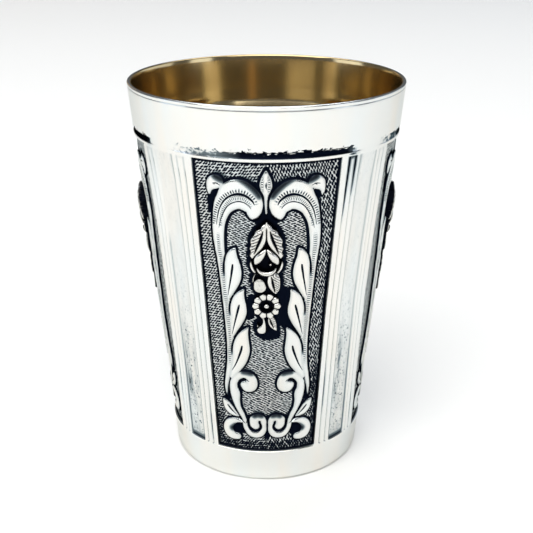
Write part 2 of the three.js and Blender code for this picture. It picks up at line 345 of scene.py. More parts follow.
@dataclass(frozen=True)
class TurnedCopies:
    """Geometry Nodes tree that sets copies of a mesh round the Z axis and joins them."""

    name: str = "Turned copies"
    weld: float = 0.004

    def tree(self) -> bpy.types.NodeTree:
        """Builds the node tree.

        Returns:
            The tree, with inputs for the count, the weld and the two materials.
        """
        tree = bpy.data.node_groups.new(self.name, "GeometryNodeTree")
        kinds = {
            "Geometry": "NodeSocketGeometry", "Count": "NodeSocketInt", "Weld": "NodeSocketFloat",
            "Outside": "NodeSocketMaterial", "Inside": "NodeSocketMaterial",
        }
        for name, kind in kinds.items():
            tree.interface.new_socket(name, in_out="INPUT", socket_type=kind)
        tree.interface.new_socket("Geometry", in_out="OUTPUT", socket_type="NodeSocketGeometry")
        add = partial(add_node, tree)
        given = {name: add("NodeGroupInput", output=name) for name in kinds}
        spots = add("GeometryNodePoints", {"Count": given["Count"]})
        number = add("GeometryNodeInputIndex")
        share = add("ShaderNodeMath", {0: number, 1: given["Count"]}, operation="DIVIDE")
        angle = add("ShaderNodeMath", {0: share, 1: math.tau}, operation="MULTIPLY")
        euler = add("ShaderNodeCombineXYZ", {"Z": angle})
        turn = add("FunctionNodeEulerToRotation", {0: euler})
        made = add(
            "GeometryNodeInstanceOnPoints",
            {"Points": spots, "Instance": given["Geometry"], "Rotation": turn},
        )
        made = add("GeometryNodeRealizeInstances", {"Geometry": made})
        made = add("GeometryNodeMergeByDistance", {"Geometry": made, "Distance": given["Weld"]})
        made = add("GeometryNodeSetMaterial", {"Geometry": made, "Material": given["Outside"]})
        flag = add("GeometryNodeInputNamedAttribute", {"Name": "inside"}, data_type="BOOLEAN")
        made = add(
            "GeometryNodeSetMaterial", {"Geometry": made, "Selection": flag, "Material": given["Inside"]}
        )
        add("NodeGroupOutput", {"Geometry": made})
        return tree

    def mesh(
        self, source: bpy.types.Mesh, count: int, outside: bpy.types.Material, inside: bpy.types.Material
    ) -> bpy.types.Mesh:
        """Repeats a mesh round the Z axis.

        Args:
            source: Mesh of one copy.
            count: Number of copies in a full turn.
            outside: Material of the faces that aren't flagged.
            inside: Material of the faces flagged as inside.

        Returns:
            One plain mesh of all the copies.
        """
        tree = self.tree()
        carrier = bpy.data.objects.new(source.name, source)
        bpy.context.scene.collection.objects.link(carrier)
        modifier = carrier.modifiers.new(self.name, "NODES")
        modifier.node_group = tree
        given = {"Count": count, "Weld": self.weld * MM, "Outside": outside, "Inside": inside}
        for socket in tree.interface.items_tree:
            if socket.in_out == "INPUT" and socket.name in given:
                modifier[socket.identifier] = given[socket.name]
        depsgraph = bpy.context.evaluated_depsgraph_get()
        made = bpy.data.meshes.new_from_object(
            carrier.evaluated_get(depsgraph), preserve_all_data_layers=True, depsgraph=depsgraph
        )
        carrier.modifiers.remove(modifier)
        bpy.data.objects.remove(carrier)
        return made


@dataclass(frozen=True)
class Finish:
    """A finish, named for the real material. Each kind of finish adds the nodes of its own shader."""

    name: str

    def shader(self, add: Add) -> Socket:
        """Adds the finish's nodes by the function given, and returns its shader."""
        raise NotImplementedError

    def cloud(self, add: Add, wide: float, tall: float, detail: float) -> Socket:
        """Adds a cloudy pattern on the object's own coordinates.

        Args:
            add: Function that adds a node to the material.
            wide: Width of a spot in millimetres.
            tall: Height of a spot.
            detail: How many finer patterns are laid over it.

        Returns:
            Strength of the pattern, about 0.5 on average.
        """
        spot = add("ShaderNodeTexCoord", output="Object")
        scale = [1 / (size * MM) for size in (wide, wide, tall)]
        place = add("ShaderNodeMapping", {"Vector": spot, "Scale": scale})
        return add("ShaderNodeTexNoise", {"Vector": place, "Scale": 1.0, "Detail": detail})

    def material(self) -> bpy.types.Material:
        """Builds the node material.

        Returns:
            The material, with the finish's shader on its surface.
        """
        material = bpy.data.materials.new(self.name)
        material.use_nodes = True
        material.node_tree.nodes.clear()
        add = partial(add_node, material.node_tree)
        add("ShaderNodeOutputMaterial", {"Surface": self.shader(add)})
        return material


@dataclass(frozen=True)
class ChasedSilver(Finish):
    """Sterling silver sheet, chased and planished by hand, then blackened and rubbed bright again.

    The eye sees a near-white mirror, soft from fine rubbing marks, and a blue-black oxide that stays in
    every line, in the punched ground and in the corners. The same blue-black and a grey also paint shade
    over the high places and just inside the edges of the relief, and shadow in its pockets and round the
    sprig.
    """

    name: str = "Chased sterling silver, oxidised"
    warm: str = "#e9e6e0"
    cool: str = "#e3e7e7"
    tarnish_and_shade: str = "#8c9a9f"
    # Blue-black of the oxide, also used for painted shade and painted shadow.
    oxide: str = "#0a0f1b"
    tint_mm: Pair = (5.0, 28.0)
    tint_range: Pair = (0.3, 0.7)
    # Darkness at which grey, of tarnish and of light painted shade, covers the silver, and from which black
    # oxide and dark painted shade cover the grey.
    tarnish_and_shade_full: float = 0.5
    oxide_and_shade_from: float = 0.25
    roughness: Pair = (0.14, 0.26)
    oxide_and_shade_roughness: float = 0.42
    rub_mm: float = 7.0
    soft_mm: float = 0.06
    leaf_line_mm: float = 0.5
    # How near the middle of its cell a punch mark reaches, from its blurred edge to its full black.
    punch_reach: Pair = (0.5, 0.32)
    punch_disorder: float = 0.36
    punch_depth_mm: float = 0.05
    punch_bump: float = 0.5
    # The real cuts are finer than the render shows, so these are set further apart.
    tick_mm: float = 0.5
    tick_edge: float = 0.35
    ring_mm: Pair = (79.95, 81.35)
    ring_tear_mm: float = 1.8
    ragged_mm: Pair = (1.1, 0.6875)
    ragged_range: Pair = (0.25, 0.75)
    worn_range: Pair = (0.8, 1.2)
    ring_least: float = 0.2
    streak_mm: Pair = (1.3, 6.0)
    streak_range: Pair = (0.4, 0.75)
    streak_dark: Pair = (0.2, 0.9)
    speck_mm: float = 0.5
    speck_range: Pair = (0.56, 0.68)
    speck_dark: float = 1.6

    def lines(self, add: Add, given: dict[str, Socket]) -> dict[str, Socket]:
        """Adds the dark outlines and the engraved lines.

        Args:
            add: Function that adds a node to the material.
            given: The vertices' numbers by name.

        Returns:
            Sockets with the darkness of the "lines", and with what is off the scrolls and off the leaves.
        """
        off_groove = add("ShaderNodeMath", {0: given["groove_mm"]}, operation="ABSOLUTE")
        inside_of = {
            "scroll_line": (given["scroll_line_mm"], given["scroll_mm"]),
            "leaf_line": (self.leaf_line_mm, given["leaf_mm"]),
            "groove": (given["groove_half_mm"], off_groove),
        }
        distances = {"off_scroll": given["scroll_mm"], "off_leaf": given["leaf_mm"]}
        for name, (limit, distance) in inside_of.items():
            distances[name] = add("ShaderNodeMath", {0: limit, 1: distance}, operation="SUBTRACT")
        edge = {
            name: add(
                "ShaderNodeMapRange",
                {"Value": distance, "From Min": -self.soft_mm, "From Max": self.soft_mm},
                interpolation_type="SMOOTHSTEP",
            )
            for name, distance in distances.items()
        }
        outlines = (
            (edge["scroll_line"], edge["off_scroll"], edge["off_leaf"]),
            (edge["leaf_line"], edge["off_leaf"], given["leaf_show"]),
        )
        lines = edge["groove"]
        for line, *masks in outlines:
            for mask in masks:
                line = add("ShaderNodeMath", {0: line, 1: mask}, operation="MULTIPLY")
            lines = add("ShaderNodeMath", {0: lines, 1: line}, operation="MAXIMUM")
        return {"lines": lines, "off_scroll": edge["off_scroll"], "off_leaf": edge["off_leaf"]}

    def punches(self, add: Add, given: dict[str, Socket], drawn: dict[str, Socket]) -> Socket:
        """Adds the punched ground, whose marks swell and join where soot and painted shadow lie thick.

        Args:
            add: Function that adds a node to the material.
            given: The vertices' numbers by name.
            drawn: What the lines left.

        Returns:
            Darkness of the ground.
        """
        place = add("ShaderNodeCombineXYZ", {"X": given["punch_u"], "Y": given["punch_v"]})
        marks = add(
            "ShaderNodeTexVoronoi", {"Vector": place, "Scale": 1.0, "Randomness": self.punch_disorder},
            output="Distance", voronoi_dimensions="2D",
        )
        swollen = add("ShaderNodeMath", {0: marks, 1: given["soot"]}, operation="SUBTRACT")
        start, end = self.punch_reach
        mark = add(
            "ShaderNodeMapRange", {"Value": swollen, "From Min": start, "From Max": end},
            interpolation_type="SMOOTHSTEP",
        )
        for mask in (given["field"], drawn["off_scroll"], drawn["off_leaf"]):
            mark = add("ShaderNodeMath", {0: mark, 1: mask}, operation="MULTIPLY")
        return mark

    def ring(self, add: Add, given: dict[str, Socket]) -> Socket:
        """Adds the dark ring under the rim, with a ragged top and worn away in places.

        Args:
            add: Function that adds a node to the material.
            given: The vertices' numbers by name.

        Returns:
            Darkness of the ring.
        """
        ragged = self.cloud(add, *self.ragged_mm, 3.0)
        spot = add("ShaderNodeTexCoord", output="Object")
        height = add("ShaderNodeSeparateXYZ", {"Vector": spot}, output="Z")
        low, high = (z * MM for z in self.ring_mm)
        tear = self.ring_tear_mm * MM / 2
        start, end = self.ragged_range
        top = add(
            "ShaderNodeMapRange",
            {
                "Value": ragged, "From Min": start, "From Max": end,
                "To Min": high - tear, "To Max": high + tear,
            },
        )
        under = add("ShaderNodeMath", {0: top, 1: height}, operation="SUBTRACT")
        over = add("ShaderNodeMath", {0: height, 1: low}, operation="SUBTRACT")
        worn = add("ShaderNodeMath", {0: given["ring"], 1: ragged}, operation="ADD")
        start, end = self.worn_range
        ring = add(
            "ShaderNodeMapRange", {"Value": worn, "From Min": start, "From Max": end},
            interpolation_type="SMOOTHSTEP",
        )
        masks = [add("ShaderNodeMapRange", {"Value": given["ring"], "To Min": self.ring_least})]
        soft = self.soft_mm * MM
        for distance in (under, over):
            masks.append(add("ShaderNodeMapRange", {"Value": distance, "From Min": -soft, "From Max": soft}))
        for mask in masks:
            ring = add("ShaderNodeMath", {0: ring, 1: mask}, operation="MULTIPLY")
        return ring

    def stains(self, add: Add, given: dict[str, Socket]) -> list[Socket]:
        """Adds the rows of short cuts, and the streaks and specks left in the flutes.

        Args:
            add: Function that adds a node to the material.
            given: The vertices' numbers by name.

        Returns:
            Darkness of the cuts and of the film in the flutes.
        """
        pitch = math.tau / self.tick_mm
        turns = add("ShaderNodeMath", {0: given["tick_run_mm"], 1: pitch}, operation="MULTIPLY")
        wave = add("ShaderNodeMath", {0: turns}, operation="SINE")
        tick = add(
            "ShaderNodeMapRange", {"Value": wave, "From Min": -self.tick_edge, "From Max": self.tick_edge},
            interpolation_type="SMOOTHSTEP",
        )
        streaks = self.cloud(add, *self.streak_mm, 4.0)
        grit = self.cloud(add, self.speck_mm, self.speck_mm, 2.0)
        patches = []
        for cloud, (start, end), (least, most) in (
            (streaks, self.streak_range, self.streak_dark), (grit, self.speck_range, (0.0, self.speck_dark))
        ):
            patches.append(add(
                "ShaderNodeMapRange",
                {"Value": cloud, "From Min": start, "From Max": end, "To Min": least, "To Max": most},
            ))
        film = add("ShaderNodeMath", {0: patches[0], 1: patches[1]}, operation="MAXIMUM")
        return [
            add("ShaderNodeMath", {0: mask, 1: given[name]}, operation="MULTIPLY")
            for mask, name in ((tick, "tick"), (film, "film"))
        ]

    def shader(self, add: Add) -> Socket:
        """Adds the nodes of the finish.

        Args:
            add: Function that adds a node to the material.

        Returns:
            The shader of the outside of the beaker.
        """
        names = (
            "scroll_mm", "scroll_line_mm", "leaf_mm", "leaf_show", "groove_mm", "groove_half_mm",
            "tick_run_mm", "tick", "field", "punch_u", "punch_v", "soot", "oxide", "film", "ring",
        )
        given = {n: add("ShaderNodeAttribute", output="Fac", attribute_name=n) for n in names}
        drawn = self.lines(add, given)
        ground = self.punches(add, given, drawn)
        # From here the darkness holds oxide, tarnish, painted shade and painted shadow alike.
        dark = given["oxide"]
        for part in (self.ring(add, given), *self.stains(add, given), drawn["lines"], ground):
            dark = add("ShaderNodeMath", {0: dark, 1: part}, operation="MAXIMUM", use_clamp=True)
        start, end = self.tint_range
        cloud = self.cloud(add, *self.tint_mm, 3.0)
        cover = add("ShaderNodeMapRange", {"Value": cloud, "From Min": start, "From Max": end})
        thin = add("ShaderNodeMapRange", {"Value": dark, "From Max": self.tarnish_and_shade_full})
        thick = add("ShaderNodeMapRange", {"Value": dark, "From Min": self.oxide_and_shade_from})
        colour = linear(self.cool)
        for cover, over in ((cover, self.warm), (thin, self.tarnish_and_shade), (thick, self.oxide)):
            colour = add(
                "ShaderNodeMix", {0: cover, 6: colour, 7: linear(over)}, output=2, data_type="RGBA"
            )
        low, high = self.roughness
        rubbed = self.cloud(add, self.rub_mm, self.rub_mm, 5.0)
        polish = add("ShaderNodeMapRange", {"Value": rubbed, "To Min": low, "To Max": high})
        gloss = add("ShaderNodeMix", {0: dark, 2: polish, 3: self.oxide_and_shade_roughness}, data_type="FLOAT")
        bump = add(
            "ShaderNodeBump",
            {"Height": ground, "Strength": self.punch_bump, "Distance": self.punch_depth_mm * MM},
            invert=True,
        )
        return add(
            "ShaderNodeBsdfPrincipled",
            {
                "Base Color": colour, "Metallic": 1.0, "Roughness": gloss, "Specular Tint": colour,
                "Normal": bump,
            },
        )


@dataclass(frozen=True)
class GiltSilver(Finish):
    """Silver gilt: a thin wash of pale gold over the silver of the inside, burnished along the wall.

    It looks light from above, and turns a deep brownish gold where the walls mirror one another.
    """

    name: str = "Pale silver gilt, burnished"
    colour: str = "#d6c397"
    worn: str = "#cbb285"
    roughness: Pair = (0.11, 0.18)
    cloud_mm: Pair = (4.0, 22.0)

    def shader(self, add: Add) -> Socket:
        """Adds the nodes of the finish.

        Args:
            add: Function that adds a node to the material.

        Returns:
            The shader of the inside of the beaker.
        """
        cloud = self.cloud(add, *self.cloud_mm, 5.0)
        colour = add(
            "ShaderNodeMix", {0: cloud, 6: linear(self.colour), 7: linear(self.worn)}, output=2,
            data_type="RGBA",
        )
        low, high = self.roughness
        gloss = add("ShaderNodeMapRange", {"Value": cloud, "To Min": low, "To Max": high})
        return add("ShaderNodeBsdfPrincipled", {"Base Color": colour, "Metallic": 1.0, "Roughness": gloss})


@dataclass(frozen=True)
class CastSilver(Finish):
    """Cast silver, blackened and rubbed: grey-white on the high places, black in every recess and in the
    painted shadow that each part casts on what lies under it.
    """

    name: str = "Cast silver, oxidised"
    bright: str = "#dfded9"
    # Blue-black of the oxide, also used for the painted shadow.
    oxide: str = "#0a0c14"
    roughness: Pair = (0.24, 0.5)
    grain_mm: float = 0.5
    grain_depth_mm: float = 0.03
    grain_bump: float = 0.25
    speck: float = 0.12
    dark_range: Pair = (0.15, 0.8)

    def shader(self, add: Add) -> Socket:
        """Adds the nodes of the finish.

        Args:
            add: Function that adds a node to the material.

        Returns:
            The shader of the sprigs.
        """
        grain = self.cloud(add, self.grain_mm, self.grain_mm, 3.0)
        speck = add("ShaderNodeMapRange", {"Value": grain, "To Min": -self.speck, "To Max": self.speck})
        oxide = add("ShaderNodeAttribute", output="Fac", attribute_name="oxide")
        soiled = add("ShaderNodeMath", {0: oxide, 1: speck}, operation="ADD")
        start, end = self.dark_range
        dark = add(
            "ShaderNodeMapRange", {"Value": soiled, "From Min": start, "From Max": end},
            interpolation_type="SMOOTHSTEP",
        )
        colour = add(
            "ShaderNodeMix", {0: dark, 6: linear(self.bright), 7: linear(self.oxide)}, output=2,
            data_type="RGBA",
        )
        low, high = self.roughness
        gloss = add("ShaderNodeMapRange", {"Value": dark, "To Min": low, "To Max": high})
        bump = add(
            "ShaderNodeBump",
            {"Height": grain, "Strength": self.grain_bump, "Distance": self.grain_depth_mm * MM},
        )
        return add(
            "ShaderNodeBsdfPrincipled",
            {
                "Base Color": colour, "Metallic": 1.0, "Roughness": gloss, "Specular Tint": colour,
                "Normal": bump,
            },
        )


@dataclass(frozen=True)
class WhitePaper(Finish):
    """Matt white paper of the floor, which gives the silver something white to mirror."""

    name: str = "Matt white paper"
    colour: str = "#f7f7f5"
    roughness: float = 0.9

    def shader(self, add: Add) -> Socket:
        """Adds the nodes of the finish and returns the floor's shader."""
        look = {"Base Color": linear(self.colour), "Roughness": self.roughness}
        return add("ShaderNodeBsdfPrincipled", look)


@dataclass
class Beaker:
    """Sizes of the tapered side that the panels and the sprigs are bent round."""

    height: float
    rim_radius: float
    foot_radius: float = 22.42
    field_depth: float = 0.6
    panel_bottom: float = 8.5
    panel_top: float = 79.0
    panel_half_angle: float = 30.2
    panel_step_angle: float = 0.5
    step_run: float = 0.35

    def side_radius(self, z: np.ndarray | float) -> np.ndarray | float:
        """Radius of the plain outer side at a height."""
        return self.foot_radius + (self.rim_radius - self.foot_radius) * z / self.height

    def around(self, angle: np.ndarray, radius: np.ndarray, z: np.ndarray) -> np.ndarray:
        """Points at angles from the front in radians, radii and heights."""
        return np.stack(np.broadcast_arrays(radius * np.sin(angle), -radius * np.cos(angle), z), axis=-1)

    def on_panel(self, across: np.ndarray, z: np.ndarray, out: np.ndarray) -> np.ndarray:
        """Points at arc lengths from a panel's middle, heights, and distances out from its field."""
        side = self.side_radius(z)
        return self.around(across / side, side - self.field_depth + out, z)

    def recess(self, z: np.ndarray | float, run: float, past: float = 0.0) -> np.ndarray:
        """Share of the panels' depth at a height, by the run of the steps outside and inside their ends."""
        bottom, top = self.panel_bottom, self.panel_top
        return between(z, (bottom - run, bottom + past), (top + run, top - past))


@dataclass
class ChasedPanel:
    """The chased ornament of one panel, drawn on its right half and mirrored to the left."""

    rise: float = 0.52
    leaf_rise: float = 0.62
    # Distance outside and inside its edge between which a stroke's wall rises.
    wall_run: Pair = (0.36, -0.12)
    crown: float = 0.18
    # Half width below which a stroke's crown grows no steeper.
    thin_half: float = 0.3
    line_depth: float = 0.2
    line_run: Pair = (0.22, -0.1)
    line_reach: float = 0.45
    line_end: float = -0.3
    deepest_cut: float = -0.05
    # Where a leaf's outline gives way to the stem: as shares of its length, and by how near the stem is.
    merge_run: Pair = (0.48, 0.62)
    merge_gap: Pair = (0.5, 0.1)
    moat_run: Pair = (0.6, 0.2)
    moat_depth: float = 0.6
    # Where the ornament's own axis lies across the panel at its foot and at its top: it leans a little.
    axis: Pair = (0.17, -0.12)
    axis_heights: Pair = (55.0, 75.0)
    # The real punch marks are about half as large, too fine for the render, so they are drawn coarser.
    punch_cell: Pair = (0.62, 0.42)
    darkening_swell: float = 0.6
    crest: Stroke = Stroke((
        (2.75, 67.8, 0.9), (2.6, 68.6, 1.45), (2.65, 70.0, 1.95), (3.6, 71.2, 2.65), (4.6, 71.95, 2.9),
        (5.7, 72.3, 3.15), (6.9, 72.0, 3.05), (7.95, 71.0, 2.55), (9.1, 69.5, 2.05), (9.85, 67.4, 1.6),
        (10.25, 65.5, 1.38), (10.4, 63.5, 1.27), (10.4, 61.5, 1.16), (10.2, 59.0, 1.0), (9.95, 57.0, 0.93),
        (9.5, 52.0, 0.8), (8.75, 44.0, 0.82), (8.35, 38.0, 0.8), (8.45, 34.0, 0.65), (8.65, 31.0, 0.6),
        (9.15, 28.0, 0.5), (9.5, 25.5, 0.35), (9.45, 23.6, 0.15), (9.35, 22.4, 0.04),
    ), 0.66)
    curl: Stroke = Stroke((
        (9.5, 74.6, 0.5), (10.3, 74.75, 1.3), (11.05, 74.5, 1.45), (11.7, 73.8, 0.95), (12.05, 72.9, 0.55),
        (12.05, 72.2, 0.3), (11.95, 71.7, 0.08),
    ))
    bud: Stroke = Stroke((
        (0.0, 77.7, 0.05), (0.0, 76.5, 0.6), (0.0, 75.4, 1.08), (0.0, 74.4, 1.27), (0.0, 73.5, 1.0),
        (0.0, 72.7, 0.6), (0.0, 71.6, 0.32), (0.0, 70.0, 0.26), (0.0, 68.3, 0.2),
    ), 0.65)
    scroll: Stroke = Stroke((
        (5.3, 17.0, 0.42), (5.9, 18.5, 0.55), (6.65, 20.0, 0.6), (7.2, 22.0, 0.85), (7.4, 23.8, 1.1),
        (7.75, 25.2, 0.9), (7.7, 26.6, 0.85), (7.1, 27.9, 0.85), (6.1, 28.75, 0.85), (5.0, 28.9, 0.85),
        (3.9, 28.4, 1.1), (3.4, 27.2, 1.15), (3.7, 26.1, 1.3), (4.5, 25.75, 1.2), (5.1, 26.3, 1.0),
    ), 0.55)
    volute: Stroke = Stroke((
        (5.25, 17.0, 0.42), (5.2, 16.0, 0.48), (5.0, 15.0, 0.55), (4.5, 14.0, 0.65), (3.75, 13.2, 0.8),
        (2.75, 12.9, 0.85), (1.65, 13.2, 0.85), (0.95, 14.2, 0.7), (0.85, 15.5, 0.6), (0.9, 16.8, 0.65),
        (1.5, 17.65, 0.75), (2.4, 17.6, 0.85), (3.05, 17.0, 1.05), (3.1, 15.9, 1.05), (2.7, 15.3, 0.9),
    ))
    hook: Stroke = Stroke((
        (6.0, 16.3, 0.35), (7.2, 16.4, 0.6), (8.4, 15.9, 0.95), (9.15, 14.9, 1.1), (9.3, 13.7, 1.15),
        (8.8, 12.5, 1.15), (7.9, 12.0, 1.0), (7.0, 12.0, 0.85),
    ))
    small_leaf: Stroke = Stroke((
        (10.4, 21.9, 0.08), (9.75, 20.9, 0.7), (9.1, 19.7, 1.05), (8.3, 18.7, 0.9), (7.4, 18.1, 0.5),
        (6.7, 17.6, 0.15),
    ), 0.42)
    leaves: tuple[Stroke, ...] = (
        Stroke((
            (6.75, 60.2, 0.05), (7.3, 59.3, 0.7), (7.6, 58.0, 1.2), (7.5, 56.3, 1.65), (7.4, 54.6, 1.85),
            (7.45, 53.0, 1.7), (7.75, 51.4, 1.3), (8.1, 49.8, 0.8), (8.5, 48.2, 0.35),
        )),
        Stroke((
            (5.0, 50.7, 0.05), (5.75, 49.5, 0.7), (6.2, 48.0, 1.3), (6.3, 46.5, 1.7), (6.3, 45.2, 1.8),
            (6.45, 43.8, 1.55), (6.8, 42.3, 1.2), (7.25, 40.8, 0.8), (7.8, 38.9, 0.35),
        )),
        Stroke((
            (4.15, 41.4, 0.05), (4.95, 40.0, 0.7), (5.45, 38.6, 1.25), (5.7, 37.2, 1.65), (5.8, 35.7, 1.9),
            (5.95, 34.2, 1.8), (6.3, 32.7, 1.6), (6.8, 31.3, 1.3), (7.4, 29.9, 0.9), (8.2, 28.2, 0.4),
        )),
    )
    crest_line: Stroke = Stroke((
        (2.4, 70.1, 0.08), (2.75, 70.85, 0.2), (3.5, 71.6, 0.26), (4.4, 72.15, 0.28), (5.45, 72.38, 0.28),
        (6.3, 72.3, 0.26), (7.4, 71.9, 0.22), (8.4, 71.15, 0.2), (9.25, 70.1, 0.18), (9.95, 68.7, 0.15),
        (10.4, 67.0, 0.12), (10.7, 65.2, 0.05),
    ))
    # The veins of the leaves and the lines of the scrolls. Neighbours run in opposite directions.
    veins: tuple[Stroke, ...] = (
        Stroke((
            (10.2, 64.5, 0.04), (9.75, 66.3, 0.1), (9.1, 67.9, 0.12), (8.3, 69.3, 0.12), (7.4, 70.15, 0.12),
            (6.4, 70.6, 0.12), (5.5, 70.77, 0.12), (4.4, 70.5, 0.11), (3.5, 69.8, 0.1), (3.1, 69.2, 0.06),
        )),
        Stroke(((9.5, 73.95, 0.05), (10.4, 74.4, 0.12), (11.4, 74.3, 0.05))),
        Stroke(((0.0, 75.5, 0.05), (0.0, 74.3, 0.22), (0.0, 73.1, 0.05))),
        Stroke((
            (7.4, 56.3, 0.2), (7.55, 55.2, 0.25), (7.85, 53.2, 0.2), (8.2, 51.2, 0.15), (8.6, 48.8, 0.04)
        )),
        Stroke((
            (6.1, 46.7, 0.2), (6.4, 45.5, 0.25), (6.95, 43.2, 0.18), (7.4, 41.2, 0.12), (7.8, 39.3, 0.04)
        )),
        Stroke((
            (5.6, 36.5, 0.2), (5.85, 35.3, 0.26), (6.5, 33.3, 0.2), (7.2, 31.5, 0.13), (8.1, 29.8, 0.04)
        )),
        Stroke((
            (5.85, 24.5, 0.34), (6.35, 25.3, 0.36), (6.6, 26.2, 0.36), (6.3, 27.2, 0.3), (5.6, 27.75, 0.25),
            (4.8, 27.75, 0.18), (4.15, 27.3, 0.06),
        )),
        Stroke((
            (4.45, 18.0, 0.3), (4.4, 16.6, 0.33), (4.3, 15.4, 0.33), (3.9, 14.45, 0.32), (3.15, 13.9, 0.3),
            (2.3, 13.95, 0.3), (1.65, 14.5, 0.32), (1.45, 15.2, 0.32), (1.55, 15.8, 0.28),
            (1.85, 16.2, 0.15),
        )),
        Stroke(((9.25, 20.4, 0.15), (8.5, 19.4, 0.2), (7.6, 18.5, 0.1), (7.0, 18.0, 0.04))),
        Stroke(((5.2, 16.0, 0.1), (6.0, 16.75, 0.16), (6.9, 17.3, 0.2))),
    )
    # How far across the inner ground goes, as (height, across).
    inner_edge: tuple[Pair, ...] = (
        (12.9, 0.0), (13.0, 3.2), (14.0, 4.5), (16.0, 5.2), (18.5, 5.9), (20.0, 6.65), (22.0, 7.2),
        (25.2, 7.75), (27.5, 7.6), (29.5, 8.4), (31.0, 8.65), (38.0, 8.35), (44.0, 8.75), (52.0, 9.5),
        (59.0, 10.2), (63.5, 10.4), (67.4, 9.85), (69.5, 9.1), (71.0, 7.9), (71.1, 0.0),
    )
    # Pools of painted shadow on the ground, in the pockets under and between the scrolls, the leaves and the
    # sprig, where the punch marks swell into solid black. They are the same on both sides or only on the
    # side of their sign.
    paired_shadow_pools: tuple[Stroke, ...] = (
        Stroke(((10.8, 72.4, 0.5), (11.2, 71.6, 0.4))),
        Stroke(((1.7, 73.8, 0.4), (2.5, 74.3, 0.3))),
        Stroke(((5.9, 14.6, 1.2), (7.0, 14.2, 1.5))),
        Stroke(((0.0, 17.6, 0.15), (0.0, 15.0, 0.3), (0.0, 12.2, 0.35))),
        Stroke(((0.0, 68.2, 1.6), (0.0, 67.3, 2.2), (0.0, 66.0, 1.6))),
    )
    single_shadow_pools: tuple[Stroke, ...] = (
        Stroke(((3.6, 50.0, 0.9), (3.8, 46.0, 1.1), (4.2, 42.4, 1.0), (5.3, 40.9, 0.6))),
        Stroke(((-3.6, 48.5, 0.4), (-3.8, 44.0, 0.5))),
        Stroke(((-2.0, 39.7, 0.4), (0.0, 39.2, 0.7), (2.2, 39.4, 0.5))),
        Stroke(((-11.9, 71.2, 0.45), (-12.0, 69.5, 0.35), (-12.1, 68.0, 0.15))),
    )
    shadow_pool_run: Pair = (0.55, -0.05)
    # The ground is darker along the foot of the panel, and in its lower corners, higher up on the right.
    low_darkening: float = 0.3
    foot_heights: Pair = (11.8, 10.2)
    corner_across: Pair = (9.6, 11.0)
    left_corner_heights: Pair = (22.0, 15.0)
    right_corner_heights: Pair = (34.0, 28.0)
    # Painted shade: soft dark gradients over the high places of the curl, the crest, the hook, the scroll
    # and the volute, darkest at one edge.
    painted_shades: tuple[Stroke, ...] = (
        Stroke(((8.9, 75.3, 0.3), (9.7, 75.8, 0.5), (10.5, 76.0, 0.3))),
        Stroke((
            (1.35, 72.0, 0.05), (2.2, 73.5, 0.35), (3.5, 74.8, 0.4), (5.0, 75.5, 0.1), (6.2, 75.75, -0.3)
        )),
        Stroke(((7.3, 14.6, 0.5), (8.0, 14.2, 0.3))),
        Stroke(((3.6, 29.6, 0.15), (4.6, 29.9, 0.25), (5.4, 29.8, 0.1))),
        Stroke(((1.3, 18.4, 0.2), (2.2, 18.6, 0.25), (2.9, 18.2, 0.1))),
    )
    painted_shade_run: Pair = (1.0, 0.05)
    painted_shade_dark: float = 0.95
    # Painted shade: a thin grey just inside the edges of the scrolls and the leaves, so that their tops look
    # rounded.
    painted_edge_shade: float = 0.2
    painted_edge_shade_run: Pair = (-0.6, 0.05)
    # Rows of short cuts: from and to their distance off the crest's line, and how dark they are.
    outer_ticks: Pair = (0.35, 0.95)
    inner_ticks: Pair = (0.5, 1.15)
    inner_tick_dark: float = 0.65
    # How softly a row begins and ends towards the sides, and past the ends of the line.
    tick_begin: float = 0.1
    tick_fade: float = 0.12
    tick_past: Pair = (0.2, 0.0)
    stem_tick_dark: float = 0.7
    stem_tick_run: Pair = (0.5, 0.3)
    stem_tick_heights: tuple[Pair, Pair] = ((30.0, 34.0), (64.0, 62.0))
    bud_tick_dark: float = 0.8
    bud_tick_across: Pair = (0.28, 0.4)
    bud_tick_edge: Pair = (-0.05, -0.2)
    bud_tick_heights: Pair = (72.6, 73.2)

    def swell(self, reach: Reach, rise: float) -> np.ndarray:
        """Height of a stroke over the field: a steep wall under its dark outline and a low crown.

        Args:
            reach: How the points lie to the stroke.
            rise: Its full height.

        Returns:
            Heights, 0 well outside the stroke.
        """
        inward = np.clip(-reach.edge / np.maximum(reach.half, self.thin_half), 0, 1)
        return rise * smooth(reach.edge, *self.wall_run) * (1 - self.crown * (1 - inward) ** 2)

    def strokes(self, at: np.ndarray, z: np.ndarray) -> dict[str, np.ndarray]:
        """Works out the scrolls and the leaves laid over them.

        Args:
            at: Arc lengths from the ornament's axis, without sign.
            z: Heights above the foot.

        Returns:
            Height out from the field as "out", and the edges and outlines.
        """
        scroll, leaf = np.full(at.shape, FAR), np.full(at.shape, FAR)
        out, leaf_out, line = (np.zeros(at.shape) for _ in range(3))
        for stroke in (
            self.crest, self.curl, self.bud, self.scroll, self.volute, self.hook, self.small_leaf
        ):
            reach = stroke.reach(at, z)
            line = np.where(reach.edge < scroll, stroke.line, line)
            scroll = np.minimum(scroll, reach.edge)
            out = np.maximum(out, self.swell(reach, self.rise))
        show = np.ones(at.shape)
        for stroke in self.leaves:
            reach = stroke.reach(at, z)
            leaf_out = np.maximum(leaf_out, self.swell(reach, self.leaf_rise))
            merged = smooth(reach.run / stroke.length(), *self.merge_run) * smooth(scroll, *self.merge_gap)
            show = np.where(reach.edge < leaf, 1 - merged, show)
            leaf = np.minimum(leaf, reach.edge)
        moat = smooth(leaf, *self.moat_run) * show
        out = np.maximum(out * (1 - self.moat_depth * moat), leaf_out)
        return {"out": out, "scroll_mm": scroll, "scroll_line_mm": line, "leaf_mm": leaf, "leaf_show": show}

